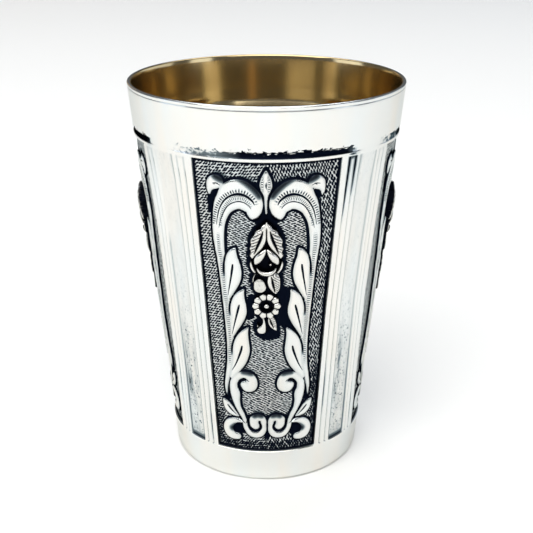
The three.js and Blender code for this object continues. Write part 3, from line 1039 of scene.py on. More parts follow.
    def grooves(self, at: np.ndarray, z: np.ndarray) -> dict[str, np.ndarray]:
        """Works out the engraved lines.

        Args:
            at: Arc lengths from the ornament's axis, without sign.
            z: Heights above the foot.

        Returns:
            Distance to one side of the nearest line, and the line's half width.
        """
        side, half, nearest = (np.full(at.shape, value) for value in (FAR, -FAR, np.inf))
        for stroke in (self.crest_line, *self.veins):
            reach = stroke.reach(at, z)
            closer = reach.edge < nearest
            nearest = np.where(closer, reach.edge, nearest)
            side = np.where(closer, reach.side, side)
            faded = 2 * np.maximum(reach.edge - self.line_reach, 0)
            half = np.where(closer, reach.half - reach.past - faded, half)
        return {"groove_mm": side, "groove_half_mm": half}

    def ticks(self, at: np.ndarray, z: np.ndarray) -> dict[str, np.ndarray]:
        """Works out the rows of short cuts along the crest, down its stem and on the bud.

        Args:
            at: Arc lengths from the ornament's axis, without sign.
            z: Heights above the foot.

        Returns:
            Run along a row and strength of the cuts.
        """
        crest = self.crest_line.reach(at, z)
        rows = []
        for side, (low, high), dark in (
            (crest.side, self.outer_ticks, 1.0), (-crest.side, self.inner_ticks, self.inner_tick_dark)
        ):
            begin, fade = self.tick_begin, self.tick_fade
            row = between(side, (low - begin, low + begin), (high + fade, high - begin))
            rows.append(dark * row * smooth(crest.past, *self.tick_past))
        stem = self.crest.reach(at, z)
        middle = smooth(np.abs(stem.side), *self.stem_tick_run) * between(z, *self.stem_tick_heights)
        bud = smooth(at, *self.bud_tick_across) * smooth(z, *self.bud_tick_heights)
        bud = bud * smooth(self.bud.reach(at, z).edge, *self.bud_tick_edge)
        run = np.where(bud > 0, z, np.where(middle > 0, stem.run, crest.run))
        rows += [self.stem_tick_dark * middle, self.bud_tick_dark * bud]
        return {"tick_run_mm": run, "tick": np.maximum.reduce(rows)}

    def darkening(self, across: np.ndarray, at: np.ndarray, z: np.ndarray) -> dict[str, np.ndarray]:
        """Works out the painted shadow and the darkening on the ground, and the painted shade over it.

        Args:
            across: Arc lengths from the ornament's axis.
            at: The same without sign.
            z: Heights above the foot.

        Returns:
            How far painted shadow and darkening swell the punch marks, and the painted shade.
        """
        # Painted shadow pools in the pockets of the ornament.
        edges = [shadow_pool.reach(at, z).edge for shadow_pool in self.paired_shadow_pools]
        edges += [shadow_pool.reach(across, z).edge for shadow_pool in self.single_shadow_pools]
        shadow_pools = smooth(np.minimum.reduce(edges), *self.shadow_pool_run)
        right, left = smooth(z, *self.right_corner_heights), smooth(z, *self.left_corner_heights)
        corner = smooth(at, *self.corner_across) * np.where(across > 0, right, left)
        low = self.low_darkening * np.maximum(smooth(z, *self.foot_heights), corner)
        # Painted shade over the high places.
        shaded = np.minimum.reduce([painted_shade.reach(at, z).edge for painted_shade in self.painted_shades])
        shaded = self.painted_shade_dark * smooth(shaded, *self.painted_shade_run)
        return {"soot": np.maximum(shadow_pools, low), "oxide": shaded}

    def relief(self, across: np.ndarray, z: np.ndarray) -> dict[str, np.ndarray]:
        """Works out the whole ornament at points of the panel.

        Args:
            across: Arc lengths from the panel's middle.
            z: Heights above the foot.

        Returns:
            Height out from the field as "out", and the numbers that the finish reads.
        """
        low, high = self.axis
        across = across - low - (high - low) * smooth(z, *self.axis_heights)
        at = np.abs(across)
        work = {**self.strokes(at, z), **self.grooves(at, z), **self.ticks(at, z)}
        work.update(self.darkening(across, at, z))
        half = work["groove_half_mm"]
        cut = smooth(np.abs(work["groove_mm"]) - half, *self.line_run) * (half > self.line_end)
        work["out"] = np.maximum(work["out"] - self.line_depth * cut, self.deepest_cut)
        # Painted shade just inside the edges of the scrolls and the leaves.
        edge = np.minimum(work["scroll_mm"], work["leaf_mm"])
        work["oxide"] = np.maximum(work["oxide"], self.painted_edge_shade * smooth(edge, *self.painted_edge_shade_run))
        heights, limits = zip(*self.inner_edge)
        inner = at < np.interp(z, heights, limits, left=0.0, right=0.0)
        slant, coarse, soot = (
            np.select([inner, across < 0], [middle, left], right)
            for middle, left, right in zip(*(ground.value for ground in Ground))
        )
        cos, sin = np.cos(np.radians(slant)), np.sin(np.radians(slant))
        wide, tall = (coarse * size for size in self.punch_cell)
        # Each row of marks is set half a mark along from the last.
        work["punch_v"] = (z * cos - across * sin) / tall
        work["punch_u"] = (across * cos + z * sin) / wide + work["punch_v"] / 2
        work["soot"] = np.maximum(work["soot"], soot)
        return work


@dataclass(frozen=True)
class CastPart:
    """One part of the sprig: its stroke, its height at the edge and on top, and how it is worked.

    A part may have a vein with ticks beside it, darkening all over, ends that droop and a scalloped outer
    edge.
    """

    stroke: Stroke
    low: float
    high: float
    mirrored: bool = False
    vein: Stroke | None = None
    tick_pitch: float = 0.0
    soot: float = 0.0
    droop: float = 0.0
    scallop: float = 0.0


@dataclass
class FlowerSprig:
    """Cast sprig of leaves, a rose, fruit and a daisy, drawn flat with its back on the panel's field."""

    beaker: Beaker
    cell: float = 0.115
    # How far vertices are drawn in to the outline, in cells, and the least slope that this reckons with.
    snap_cells: float = 1.5
    least_slope: float = 0.25
    edge_height: float = 0.45
    back: float = -0.08
    half_width: float = 4.2
    heights: Pair = (39.4, 67.2)
    backing: Stroke = Stroke((
        (0.0, 66.2, 0.3), (0.0, 64.0, 1.5), (0.0, 61.0, 2.9), (0.0, 57.6, 3.15), (0.0, 55.0, 2.3),
        (0.0, 52.5, 2.5), (0.0, 49.6, 1.8), (0.0, 47.0, 2.35), (0.0, 44.4, 1.5), (0.0, 42.4, 1.4),
        (-0.2, 41.2, 1.0),
    ))
    leaf: Stroke = Stroke((
        (0.2, 66.35, 0.4), (0.62, 65.3, 0.68), (1.15, 64.1, 1.2), (1.6, 62.9, 1.55), (1.95, 61.7, 1.42),
        (2.35, 60.5, 1.1), (2.75, 59.3, 0.72), (2.95, 58.6, 0.35),
    ))
    leaf_vein: Stroke = Stroke((
        (0.75, 64.7, 0.06), (1.2, 63.0, 0.24), (1.95, 61.0, 0.18), (2.4, 59.7, 0.05)
    ))
    leaf_parting: Stroke = Stroke(((0.0, 65.0, 0.08), (0.0, 62.9, 0.08)))
    petal: Stroke = Stroke(((0.25, 60.45, 0.3), (0.85, 59.6, 0.68), (1.65, 58.45, 0.85), (2.1, 57.5, 0.5)))
    rose_centre: Pair = (0.0, 56.9)
    rose_bowl_radius: float = 2.0
    rose_arc_radius: float = 3.2
    fruit: Stroke = Stroke(((-1.5, 52.4, 1.2), (-1.35, 51.6, 1.35)))
    fruit_edge: Stroke = Stroke(((-2.25, 54.9, 0.15), (-2.7, 53.8, 0.2), (-2.8, 52.6, 0.2)))
    fruit_leaf: Stroke = Stroke((
        (1.2, 55.0, 0.5), (1.5, 53.8, 1.25), (1.55, 52.6, 1.38), (1.8, 51.2, 0.95), (1.95, 50.0, 0.15)
    ))
    fruit_leaf_vein: Stroke = Stroke(((1.05, 54.0, 0.06), (1.35, 52.4, 0.2), (1.75, 50.5, 0.05)))
    tail_stem: Stroke = Stroke((
        (-0.9, 44.6, 0.2), (-0.55, 43.5, 0.26), (-0.6, 42.2, 0.5), (-1.05, 41.05, 1.0)
    ))
    tail_horn: Stroke = Stroke(((-1.95, 42.4, 0.12), (-1.8, 41.7, 0.3), (-1.2, 41.0, 0.9)))
    tail_leaf: Stroke = Stroke((
        (0.85, 44.4, 0.3), (1.05, 43.4, 0.85), (1.4, 42.3, 0.8), (1.85, 41.4, 0.4), (2.2, 40.9, 0.08)
    ))
    tail_leaf_vein: Stroke = Stroke(((0.7, 43.9, 0.06), (1.0, 42.8, 0.15), (1.5, 41.7, 0.05)))
    # Half width below which a part's round top grows no steeper.
    thin_half: float = 0.25
    vein_depth: float = 0.35
    vein_run: Pair = (0.14, -0.06)
    vein_past: Pair = (0.3, 0.0)
    tick_depth: float = 0.12
    tick_dark: float = 0.85
    tick_lean: float = 1.1
    tick_wave: Pair = (0.2, 0.8)
    tick_off_vein: Pair = (0.1, 0.35)
    tick_off_rim: Pair = (-0.1, -0.3)
    parting_depth: float = 0.2
    parting_run: Pair = (0.1, -0.06)
    # Distances from a part's edge over which its own rim darkens, and over which it darkens what it lies on.
    rim_dark: Pair = (-0.2, -0.05)
    shadow_run: Pair = (0.3, 0.08)
    daisy_centre: Pair = (0.0, 47.0)
    daisy_radius: float = 2.95
    daisy_eye: float = 1.3
    daisy_bead: float = 0.6
    daisy_petals: int = 10
    # Half width and height of a daisy petal at its root, and what is added to each further out.
    petal_width: Pair = (0.3528, 0.6272)
    petal_height: Pair = (1.2, 0.12)
    petal_base: float = 0.4
    petal_arch: Pair = (0.15, 0.7)
    petal_round: float = 0.3
    petal_tip_from: float = 0.6
    petal_tip_narrow: float = 0.95
    petal_tip_least: float = 0.06
    petal_rim_dark: Pair = (0.78, 0.97)
    petal_root_dark: Pair = (0.35, 0.1)
    petal_steps: tuple[int, int] = (9, 11)
    # Width of a crescent at its ends, and what is added towards its middle, as shares of its full width.
    crescent: Pair = (0.2, 0.8)
    crescent_knots: int = 7

    def arc(self, centre: Pair, radius: float, start: float, end: float, thick: float) -> Stroke:
        """Crescent along a circle, thin at its ends.

        Args:
            centre: Centre of the circle.
            radius: Radius of its spine.
            start: First angle in degrees, from across towards up.
            end: Last angle.
            thick: Half width at its middle.

        Returns:
            The stroke.
        """
        shares = np.linspace(0, 1, self.crescent_knots)
        angles = np.radians(start + (end - start) * shares)
        ends, more = self.crescent
        widths = thick * (ends + more * np.sin(np.pi * shares))
        x, z = centre
        return Stroke(tuple(
            (x + radius * math.cos(a), z + radius * math.sin(a), w) for a, w in zip(angles, widths)
        ))

    def parts(self) -> list[CastPart]:
        """Lists the parts, each laid over those before it.

        Returns:
            All the parts but the daisy's petals.
        """
        x, z = self.rose_centre
        middle, height = self.daisy_centre
        rose_arc = self.arc((x, z + 0.5), self.rose_arc_radius, 12, -62, 0.36)
        rose_bowl = self.arc(self.rose_centre, self.rose_bowl_radius, 190, 350, 0.56)
        rose_pip = Stroke(((x + 0.8, z + 0.1, 0.32), (x + 0.85, z + 0.1, 0.3)))
        bead = Stroke(((middle, height, self.daisy_bead), (middle + 0.02, height, self.daisy_bead)))
        return [
            CastPart(rose_arc, 1.0, 1.5, mirrored=True),
            CastPart(self.tail_horn, 0.7, 1.0),
            CastPart(self.tail_stem, 0.8, 1.3),
            CastPart(self.tail_leaf, 0.7, 1.1, vein=self.tail_leaf_vein, tick_pitch=0.55),
            CastPart(self.fruit_edge, 0.9, 1.3),
            CastPart(self.fruit, 1.1, 1.5, soot=0.28),
            CastPart(self.fruit_leaf, 1.0, 1.6, vein=self.fruit_leaf_vein, tick_pitch=0.62, droop=0.4),
            CastPart(rose_pip, 1.0, 1.5),
            CastPart(rose_bowl, 1.3, 1.95),
            CastPart(
                self.leaf, 1.5, 2.15, mirrored=True, vein=self.leaf_vein, tick_pitch=0.86, droop=0.6,
                scallop=0.24,
            ),
            CastPart(self.petal, 1.6, 2.25, mirrored=True, droop=0.4),
            CastPart(bead, 0.9, 1.5),
        ]

    def relief(self, across: np.ndarray, z: np.ndarray) -> dict[str, np.ndarray]:
        """Works out the sprig at points of the panel.

        Args:
            across: Arc lengths from the panel's middle.
            z: Heights above the foot.

        Returns:
            Distance outside the outline as "edge", height as "out" and blackening, oxide with painted
            shadow, as "oxide".
        """
        edge = self.backing.reach(across, z).edge
        out = np.full(across.shape, self.edge_height)
        oxide = np.ones(across.shape)
        for part in self.parts():
            at = np.abs(across) if part.mirrored else across
            reach = part.stroke.reach(at, z)
            rim = reach.edge
            if part.scallop:
                wave = 0.5 + 0.5 * np.cos(math.pi * reach.run / part.tick_pitch)
                rim = rim + part.scallop * wave * (reach.side > 0)
            inward = np.clip(-rim / np.maximum(reach.half, self.thin_half), 0, 1)
            height = part.low + (part.high - part.low) * np.sqrt(1 - (1 - inward) ** 2)
            height = height - part.droop * (2 * reach.run / part.stroke.length() - 1) ** 2
            shade = np.maximum(smooth(rim, *self.rim_dark), part.soot)
            if part.vein is not None:
                rib = part.vein.reach(at, z)
                off = np.abs(rib.side)
                groove = smooth(off - rib.half, *self.vein_run) * smooth(rib.past, *self.vein_past)
                wave = np.sin(math.tau * (rib.run - self.tick_lean * off) / part.tick_pitch)
                ticks = smooth(wave, *self.tick_wave) * smooth(rib.side, *self.tick_off_vein)
                ticks = ticks * smooth(rim, *self.tick_off_rim)
                height = height - self.vein_depth * groove - self.tick_depth * ticks
                shade = np.maximum.reduce([shade, groove, self.tick_dark * ticks])
            on = rim < 0
            # Just outside a part's edge, a painted shadow darkens what it lies on.
            oxide = np.where(on, shade, np.maximum(oxide, smooth(rim, *self.shadow_run)))
            out = np.where(on, np.maximum(height, self.edge_height), out)
            edge = np.minimum(edge, rim)
        parting = smooth(self.leaf_parting.reach(across, z).edge, *self.parting_run)
        oxide = np.clip(np.maximum(oxide, parting), 0, 1)
        return {"edge": edge, "out": out - self.parting_depth * parting, "oxide": oxide}

    def daisy_petal(self) -> Sketch:
        """One petal of the daisy, with the flower's centre at the origin and the petal along +X.

        Returns:
            A closed sketch, x and y on the panel and z out from its field.
        """
        lengths, arch = (np.linspace(0, end, steps) for end, steps in zip((1, math.pi), self.petal_steps))
        radius = self.daisy_eye + (self.daisy_radius - self.daisy_eye) * lengths
        tip = np.clip((lengths - self.petal_tip_from) / (1 - self.petal_tip_from), 0, 1)
        root, more = self.petal_width
        narrowed = np.clip(1 - self.petal_tip_narrow * tip**2, self.petal_tip_least, 1)
        width = (root + more * lengths) * np.sqrt(narrowed)
        root, more = self.petal_height
        start, span = self.petal_arch
        crest = root + more * np.sin(math.pi * (start + span * lengths)) - self.petal_base
        side, dome = -np.cos(arch), np.sin(arch) ** self.petal_round
        points = np.stack(np.broadcast_arrays(
            radius[:, None], width[:, None] * side, self.petal_base + crest[:, None] * dome
        ), axis=-1)
        rim, root = smooth(np.abs(side), *self.petal_rim_dark), smooth(lengths, *self.petal_root_dark)
        shade = np.maximum(rim, root[:, None])
        sketch = Sketch()
        grid = sketch.add(points, oxide=shade)
        sketch.weave(grid)
        for a, b in zip(grid[:-1], grid[1:]):
            sketch.face(a[-1], b[-1], b[0], a[0])
        sketch.face(*grid[0])
        sketch.face(*grid[-1][::-1])
        return sketch

    def sketch(self, copies: TurnedCopies, finish: bpy.types.Material) -> Sketch:
        """Draws the whole sprig.

        Args:
            copies: Tree that sets the petals round the daisy.
            finish: Material of the petals.

        Returns:
            A sketch in flat panel coordinates: across, height and out.
        """
        columns = np.arange(-self.half_width, self.half_width, self.cell)
        across, z = np.meshgrid(columns, np.arange(*self.heights, self.cell))
        edge = self.relief(across, z)["edge"]
        # The vertices just outside the outline are drawn in to it.
        slope_z, slope_x = np.gradient(edge, self.cell)
        slope = np.maximum(slope_x**2 + slope_z**2, self.least_slope)
        snap = np.where(edge > 0, np.minimum(edge, self.snap_cells * self.cell), 0.0)
        across, z = across - snap * slope_x / slope, z - snap * slope_z / slope
        cast = self.relief(across, z)
        kept = edge < 0
        cells = kept[:-1, :-1] | kept[1:, :-1] | kept[:-1, 1:] | kept[1:, 1:]
        used = np.zeros(edge.shape, bool)
        for row, column in ((0, 0), (1, 0), (0, 1), (1, 1)):
            used[row:row + cells.shape[0], column:column + cells.shape[1]] |= cells
        sketch = Sketch()
        front, back = np.full(edge.shape, -1), np.full(edge.shape, -1)
        front[used] = sketch.add(np.stack([across, z, cast["out"]], -1)[used], oxide=cast["oxide"][used])
        back[used] = sketch.add(np.stack([across, z, np.full(z.shape, self.back)], -1)[used], oxide=1.0)
        edges: dict[tuple[int, int], tuple[int, int]] = {}
        for row, column in np.argwhere(cells):
            corners = [(row, column), (row, column + 1), (row + 1, column + 1), (row + 1, column)]
            sketch.face(*(front[c] for c in corners))
            sketch.face(*(back[c] for c in reversed(corners)))
            for a, b in zip(corners, corners[1:] + corners[:1]):
                if edges.pop((front[b], front[a]), None) is None:
                    edges[(front[a], front[b])] = (back[a], back[b])
        for (a, b), (c, d) in edges.items():
            sketch.face(b, a, c, d)
        petals = copies.mesh(self.daisy_petal().mesh("daisy_petal"), self.daisy_petals, finish, finish)
        places = np.array([v.co for v in petals.vertices]) / MM
        start = sketch.add(places + np.array([*self.daisy_centre, 0.0]), oxide=numbers(petals, "oxide"))[0]
        for polygon in petals.polygons:
            sketch.face(*(start + v for v in polygon.vertices))
        return sketch

    def pieces(self, copies: TurnedCopies, finish: bpy.types.Material) -> dict[Side, bpy.types.Object]:
        """Makes the four sprigs, each bent onto its own panel.

        Args:
            copies: Tree that sets the petals round the daisy.
            finish: Material of the sprigs.

        Returns:
            The sprigs by side.
        """
        flat = self.sketch(copies, finish)
        bent = self.beaker.on_panel(*np.vstack(flat.points).T)
        oxide = np.concatenate([values["oxide"] for values in flat.values])
        made = {}
        for side in Side:
            turned = Sketch()
            cos, sin = math.cos(side.turn), math.sin(side.turn)
            turn = np.array([[cos, -sin, 0], [sin, cos, 0], [0, 0, 1]])
            turned.add(bent @ turn.T, oxide=oxide)
            turned.faces, turned.inside = flat.faces, flat.inside
            mesh = turned.mesh(f"cast_sprig_{side.name.lower()}")
            mesh.materials.append(finish)
            made[side] = finished(mesh)
        return made


def finished(mesh: bpy.types.Mesh, sharp: float = math.radians(50)) -> bpy.types.Object:
    """Turns a mesh into a piece: faces outwards, smooth but for its sharp edges.

    Args:
        mesh: Mesh with its materials on.
        sharp: Angle from which an edge stays sharp.

    Returns:
        The object, at the origin.
    """
    work = bmesh.new()
    work.from_mesh(mesh)
    bmesh.ops.recalc_face_normals(work, faces=work.faces)
    work.to_mesh(mesh)
    work.free()
    mesh.shade_smooth()
    mesh.set_sharp_from_angle(angle=sharp)
    piece = bpy.data.objects.new(mesh.name, mesh)
    bpy.context.scene.collection.objects.link(piece)
    return piece


@dataclass
class CupBody:
    """The beaker itself, drawn as one quarter and turned four times round its axis."""

    beaker: Beaker
    panel: ChasedPanel
    sprig: FlowerSprig
    wall: float = 0.9
    floor_thickness: float = 1.1
    foot_round: float = 1.0
    floor_round: float = 2.0
    lip_round: float = 0.3
    fillet_top: float = 79.9
    ring_top: float = 81.4
    ring_depth: float = 0.45
    ring_round: float = 0.6
    ring_rows: int = 9
    round_rows: int = 6
    lip_rows: int = 9
    groove_depth: float = 0.35
    channel_depth: float = 0.45
    shoulder_share: float = 0.3
    inside_bulge: float = 0.5
    bulge_run: float = 1.5
    bulge_angle: float = 2.0
    ridge: float = 0.12
    ridge_half_width: float = 0.6
    grooves: Pair = (33.6, 37.0)
    channel_half_angle: float = 5.1
    flute_fade: float = 6.0
    panel_columns: int = 84
    panel_rows: int = 199
    plain_columns: int = 36
    gilt_rows: int = 3
    strip_columns: tuple[float, ...] = (
        30.7, 31.2, 31.8, 32.4, 32.9, 33.25, 33.6, 33.95, 34.3, 35.3, 36.3, 36.65, 37.0, 37.35, 37.7, 38.45,
        39.2, 39.55, 39.9, 40.3, 41.5, 43.2, 45.0,
    )
    strip_low_rows: tuple[float, ...] = (9.0, 10.0)
    strip_rows: tuple[int, int, int] = (13, 76, 3)
    strip_high_rows: tuple[float, ...] = (77.0, 77.8, 78.4)
    step_rows: tuple[float, ...] = (0.0, 0.3, 0.65, 1.0)
    underside_rows: tuple[float, ...] = (0.35, 0.7, 0.92)
    base_rows: tuple[float, ...] = (2.5, 4.5, 6.5, 7.7)
    fillet_rows: tuple[float, ...] = (79.55, 79.75)
    band_rows: tuple[float, ...] = (81.7, 82.1, 82.7, 84.5, 87.0, 89.3)
    floor_rows: tuple[float, ...] = (0.8, 0.5, 0.2)
    # Heights to which the inside goes down, from the lip and over its foot, with the number of rows to each.
    inside_upper: tuple[float, int] = (74.0, 20)
    inside_lower: tuple[float, int] = (8.0, 14)
    inside_foot_rows: int = 7
    # A fine line below the lip: how far down it is, and its rows as (step up, sink, blackening).
    lip_line: float = 0.85
    lip_line_rows: Spine = ((-0.12, 0.0, 0.0), (0.0, 0.06, 0.3), (0.12, 0.0, 0.0))
    # Strength of the dark ring by the angle from the panel's middle: it is rubbed away over the strips.
    ring_angles: tuple[float, ...] = (-45, -40, -34, -20, -10, 30, 34, 37, 45)
    ring_dark: tuple[float, ...] = (0.08, 0.2, 0.45, 0.6, 1.0, 1.0, 1.0, 0.3, 0.08)
    # How wide the black edge of a panel is, at first and on its lower right: oxide in the corner of the
    # recess, widened by painted shadow, which falls heavier on the lower right.
    panel_edge_dark: Pair = (0.3, 0.6)
    panel_edge_heights: Pair = (62.0, 40.0)
    panel_edge_run: Pair = (1.1, 0.55)
    field_run: Pair = (0.3, 0.8)
    # Run of the painted shadow that the sprig casts on the ground round it.
    sprig_shadow_run: Pair = (1.1, 0.4)
    # The lines in a strip's two grooves and beside its channel: their darkness all along, what is added
    # towards one end, and the heights over which that comes in. The left strip's grooves have less of it.
    line_dark: tuple[tuple[float, float, Pair], ...] = (
        (0.14, 1.1, (63.0, 72.0)), (0.12, 1.1, (68.0, 76.0)), (0.35, 0.35, (45.0, 12.0)),
    )
    left_share: float = 0.1
    line_width: Pair = (0.65, 0.5)
    line_swell_heights: Pair = (66.0, 78.0)
    line_fade: Pair = (1.0, 0.08)
    channel_corner: Pair = (0.9, 0.2)
    channel_corner_angle: float = 0.4
    # A short line low in the first groove, on the left strip and on the right one.
    foot_line_dark: float = 0.5
    foot_line_heights: tuple[tuple[Pair, Pair], ...] = (((9, 11), (21, 17)), ((17, 20), (30, 26)))
    # Where soot has run down from the ring over a strip's first flutes.
    drip_angle: float = 35.3
    drip_height: float = 79.6
    drip_squeeze: float = 0.4
    drip_run: Pair = (1.3, 0.5)
    drip_angles: Pair = (2.6, 1.0)
    # The film in a channel: all along, more towards the foot, and in a streak.
    film_dark: tuple[float, float, float] = (0.08, 0.3, 0.7)
    film_heights: Pair = (60.0, 15.0)
    film_edge: Pair = (-0.2, 0.8)
    streak_angle: float = 42.5
    streak_run: Pair = (1.8, 0.2)
    streak_heights: tuple[Pair, Pair] = ((16, 22), (40, 32))
    # How far the long edges round the front wander from their true angles, in degrees at each height, and
    # the angle within which a panel gives way to its edges.
    wander_heights: tuple[float, ...] = (8.5, 25.0, 45.0, 60.0, 79.0)
    wander: tuple[tuple[float, ...], ...] = (
        (-0.5, 1.2, 1.5, 1.5, -1.5), (1.2, 0.7, 0.0, -0.6, -1.2), (-1.6, -1.3, -0.9, 0.2, 1.5),
        (2.4, -0.6, -3.0, -2.3, -0.6),
    )
    wander_reach: float = 3.5
    # The strip left of the front is rubbed bright near its top, and the other panels harder than the front.
    rubbed_from: float = 58.0
    rubbed_clear: float = 0.3
    rubbed_share: float = 0.15
    hard_rub: float = 0.12

    @property
    def sector(self) -> float:
        """Half the angle of one quarter."""
        return 180 / len(Side)

    @property
    def channel(self) -> float:
        """Angle at which a strip's channel begins."""
        return self.sector - self.channel_half_angle

    @property
    def plain_angles(self) -> np.ndarray:
        """Angles of the vertices of a plain row."""
        return np.linspace(-self.sector, self.sector, self.plain_columns + 1)

    @property
    def ring_share(self) -> np.ndarray:
        """Strength of the dark ring along a plain row."""
        return np.interp(self.plain_angles, self.ring_angles, self.ring_dark)

    def rows(self, inner: np.ndarray) -> np.ndarray:
        """Heights of the rows of a panel or strip.

        Args:
            inner: Heights between the panel's bottom and top, with both.

        Returns:
            The same with the rows of the steps below and above.
        """
        b = self.beaker
        shares = np.array(self.step_rows)
        below = b.panel_bottom - b.step_run * (1 - shares[:-1])
        above = b.panel_top + b.step_run * shares[1:]
        return np.concatenate([below, inner, above])

    def recess(self, z: np.ndarray) -> np.ndarray:
        """Share of the full depth of panels and flutes at a height."""
        return self.beaker.recess(z, self.beaker.step_run)

    def hand_drawn(self, mesh: bpy.types.Mesh) -> None:
        """Lets the long edges of the front and side panels wander, and rubs some places brighter.

        Args:
            mesh: Mesh of the beaker, which is changed.
        """
        places = np.array([v.co for v in mesh.vertices])
        z = places[:, 2] / MM
        angle = np.degrees(np.arctan2(places[:, 0], -places[:, 1]))
        half, quarter = self.beaker.panel_half_angle, 2 * self.sector
        edges = (half - quarter, -half, half, quarter - half)
        still = [edge + inward * self.wander_reach for edge, inward in zip(edges, (-1, 1, -1, 1))]
        knots = sorted([-180.0, *edges, *still, 180.0])
        turned = angle
        for edge, wander in zip(edges, self.wander):
            pull = np.interp(angle, knots, [float(knot == edge) for knot in knots])
            turned = turned + pull * np.interp(z, self.wander_heights, wander)
        radius = np.hypot(places[:, 0], places[:, 1])
        moved = self.beaker.around(np.radians(turned), radius, places[:, 2])
        mesh.vertices.foreach_set("co", moved.astype(np.float32).ravel())
        left_strip = (angle > edges[0] + self.rubbed_clear) & (angle < -self.sector) & (z > self.rubbed_from)
        set_numbers(mesh, "oxide", numbers(mesh, "oxide") * np.where(left_strip, self.rubbed_share, 1.0))
        set_numbers(mesh, "soot", numbers(mesh, "soot") - self.hard_rub * (np.abs(angle) > self.sector))

    def strip_depth(self, angle: np.ndarray) -> np.ndarray:
        """Depth of the beads, grooves and channel of a strip.

        Args:
            angle: Angles from the panel's middle, without sign.

        Returns:
            Depths below the plain side.
        """
        bounds = (self.beaker.panel_half_angle, *self.grooves, self.channel)
        depth = np.zeros(angle.shape)
        for low, high in zip(bounds, bounds[1:]):
            bead = self.groove_depth * np.abs(2 * (angle - low) / (high - low) - 1) ** 3
            if low == self.beaker.panel_half_angle:
                bead = np.where(angle < (low + high) / 2, self.shoulder_share * bead, bead)
            depth = np.where((angle >= low) & (angle < high), bead, depth)
        share = (self.sector - angle) / self.channel_half_angle
        hollow = self.channel_depth - (self.channel_depth - self.groove_depth) * share**2
        return np.where(angle >= self.channel, hollow, depth)

    def strip_soil(self, angle: np.ndarray, z: np.ndarray, right: bool) -> dict[str, np.ndarray]:
        """Works out the blackening left in a strip: lines in its grooves and a film in its channel.

        Args:
            angle: Angles from the panel's middle, without sign.
            z: Heights above the foot.
            right: Whether the strip is on the panel's right, where more is left.

        Returns:
            The lines as "oxide" and the patchy film as "film".
        """
        share = 1.0 if right else self.left_share
        strengths = [
            least + weight * more * smooth(z, *run)
            for (least, more, run), weight in zip(self.line_dark, (share, share, 1.0))
        ]
        strengths[0] = strengths[0] + self.foot_line_dark * between(z, *self.foot_line_heights[right])
        thin, more = self.line_width
        width = thin + more * share * smooth(z, *self.line_swell_heights)
        stains = [
            strength * smooth(np.abs(angle - line) / width, *self.line_fade)
            for line, strength in zip((*self.grooves, self.channel), strengths)
        ]
        corner = smooth(z - self.beaker.panel_bottom, *self.channel_corner)
        stains.append(corner * smooth(angle, self.channel, self.channel + self.channel_corner_angle))
        blot = np.hypot(self.drip_squeeze * (angle - self.drip_angle), z - self.drip_height)
        stains.append(share * smooth(blot, *self.drip_run))
        streak = share * smooth(np.abs(angle - self.streak_angle), *self.streak_run)
        streak = streak * between(z, *self.streak_heights)
        least, low, streaked = self.film_dark
        film = least + low * smooth(z, *self.film_heights) + streaked * streak
        film = film * smooth(angle - self.channel, *self.film_edge)
        return {"oxide": np.maximum.reduce(stains) * self.recess(z), "film": film * self.recess(z)}

    def draw_panel(self, sketch: Sketch) -> tuple[np.ndarray, np.ndarray, np.ndarray]:
        """Draws the panel of the quarter with its ornament.

        Args:
            sketch: Sketch that takes it.

        Returns:
            Its vertices by row and column, its columns' angles and its rows' heights.
        """
        b = self.beaker
        foot = b.panel_half_angle - b.panel_step_angle
        edge = foot + b.panel_step_angle * np.array(self.step_rows[1:])
        columns = np.concatenate([-edge[::-1], np.linspace(-foot, foot, self.panel_columns + 1), edge])
        heights = self.rows(np.linspace(b.panel_bottom, b.panel_top, self.panel_rows + 1))
        angle, z = np.meshgrid(columns, heights)
        turned = np.radians(angle)
        across = turned * b.side_radius(z)
        sunk = smooth(np.abs(angle), b.panel_half_angle, foot) * self.recess(z)
        work = self.panel.relief(across, z)
        radius = b.side_radius(z) - sunk * (b.field_depth - work.pop("out"))
        # The black edge of the panel: oxide in its corner with painted shadow, wider on the lower right.
        thin, thick = self.panel_edge_dark
        dark = thin + (thick - thin) * (angle > 0) * smooth(z, *self.panel_edge_heights)
        side = np.radians(foot - np.abs(angle)) * b.side_radius(z) / dark
        ends = np.minimum(z - b.panel_bottom, b.panel_top - z) / thin
        corner = smooth(np.minimum(side, ends), *self.panel_edge_run)
        # Painted shadow of the sprig on the ground round it.
        sprig_shadow = smooth(self.sprig.relief(across, z)["edge"], *self.sprig_shadow_run)
        # The punch marks swell with the ground's darkening, the painted shadow pools, the panel's edge and
        # the sprig's painted shadow.
        work["soot"] = self.panel.darkening_swell * np.maximum.reduce([work["soot"], corner, sprig_shadow])
        work["oxide"] = work["oxide"] * sunk
        grid = sketch.add(b.around(turned, radius, z), field=smooth(sunk, *self.field_run), **work)
        sketch.weave(grid)
        return grid, columns, heights

    def draw_strips(self, sketch: Sketch) -> tuple[np.ndarray, np.ndarray, np.ndarray]:
        """Draws the half strip on each side of the panel.

        Args:
            sketch: Sketch that takes them.

        Returns:
            The left strip's and the right strip's vertices by row and column, and their rows' heights.
        """
        b = self.beaker
        heights = self.rows(np.array([
            b.panel_bottom, *self.strip_low_rows, *range(*self.strip_rows), *self.strip_high_rows,
            b.panel_top,
        ]))
        made = []
        for sign in (-1, 1):
            angle, z = np.meshgrid(np.array(self.strip_columns)[::sign], heights)
            faded = self.recess(z) * smooth(z, b.panel_top, b.panel_top - self.flute_fade)
            radius = b.side_radius(z) - self.strip_depth(angle) * faded
            darkening = self.strip_soil(angle, z, sign > 0)
            grid = sketch.add(b.around(np.radians(sign * angle), radius, z), **darkening, **PLAIN)
            sketch.weave(grid)
            made.append(grid)
        return made[0], made[1], heights

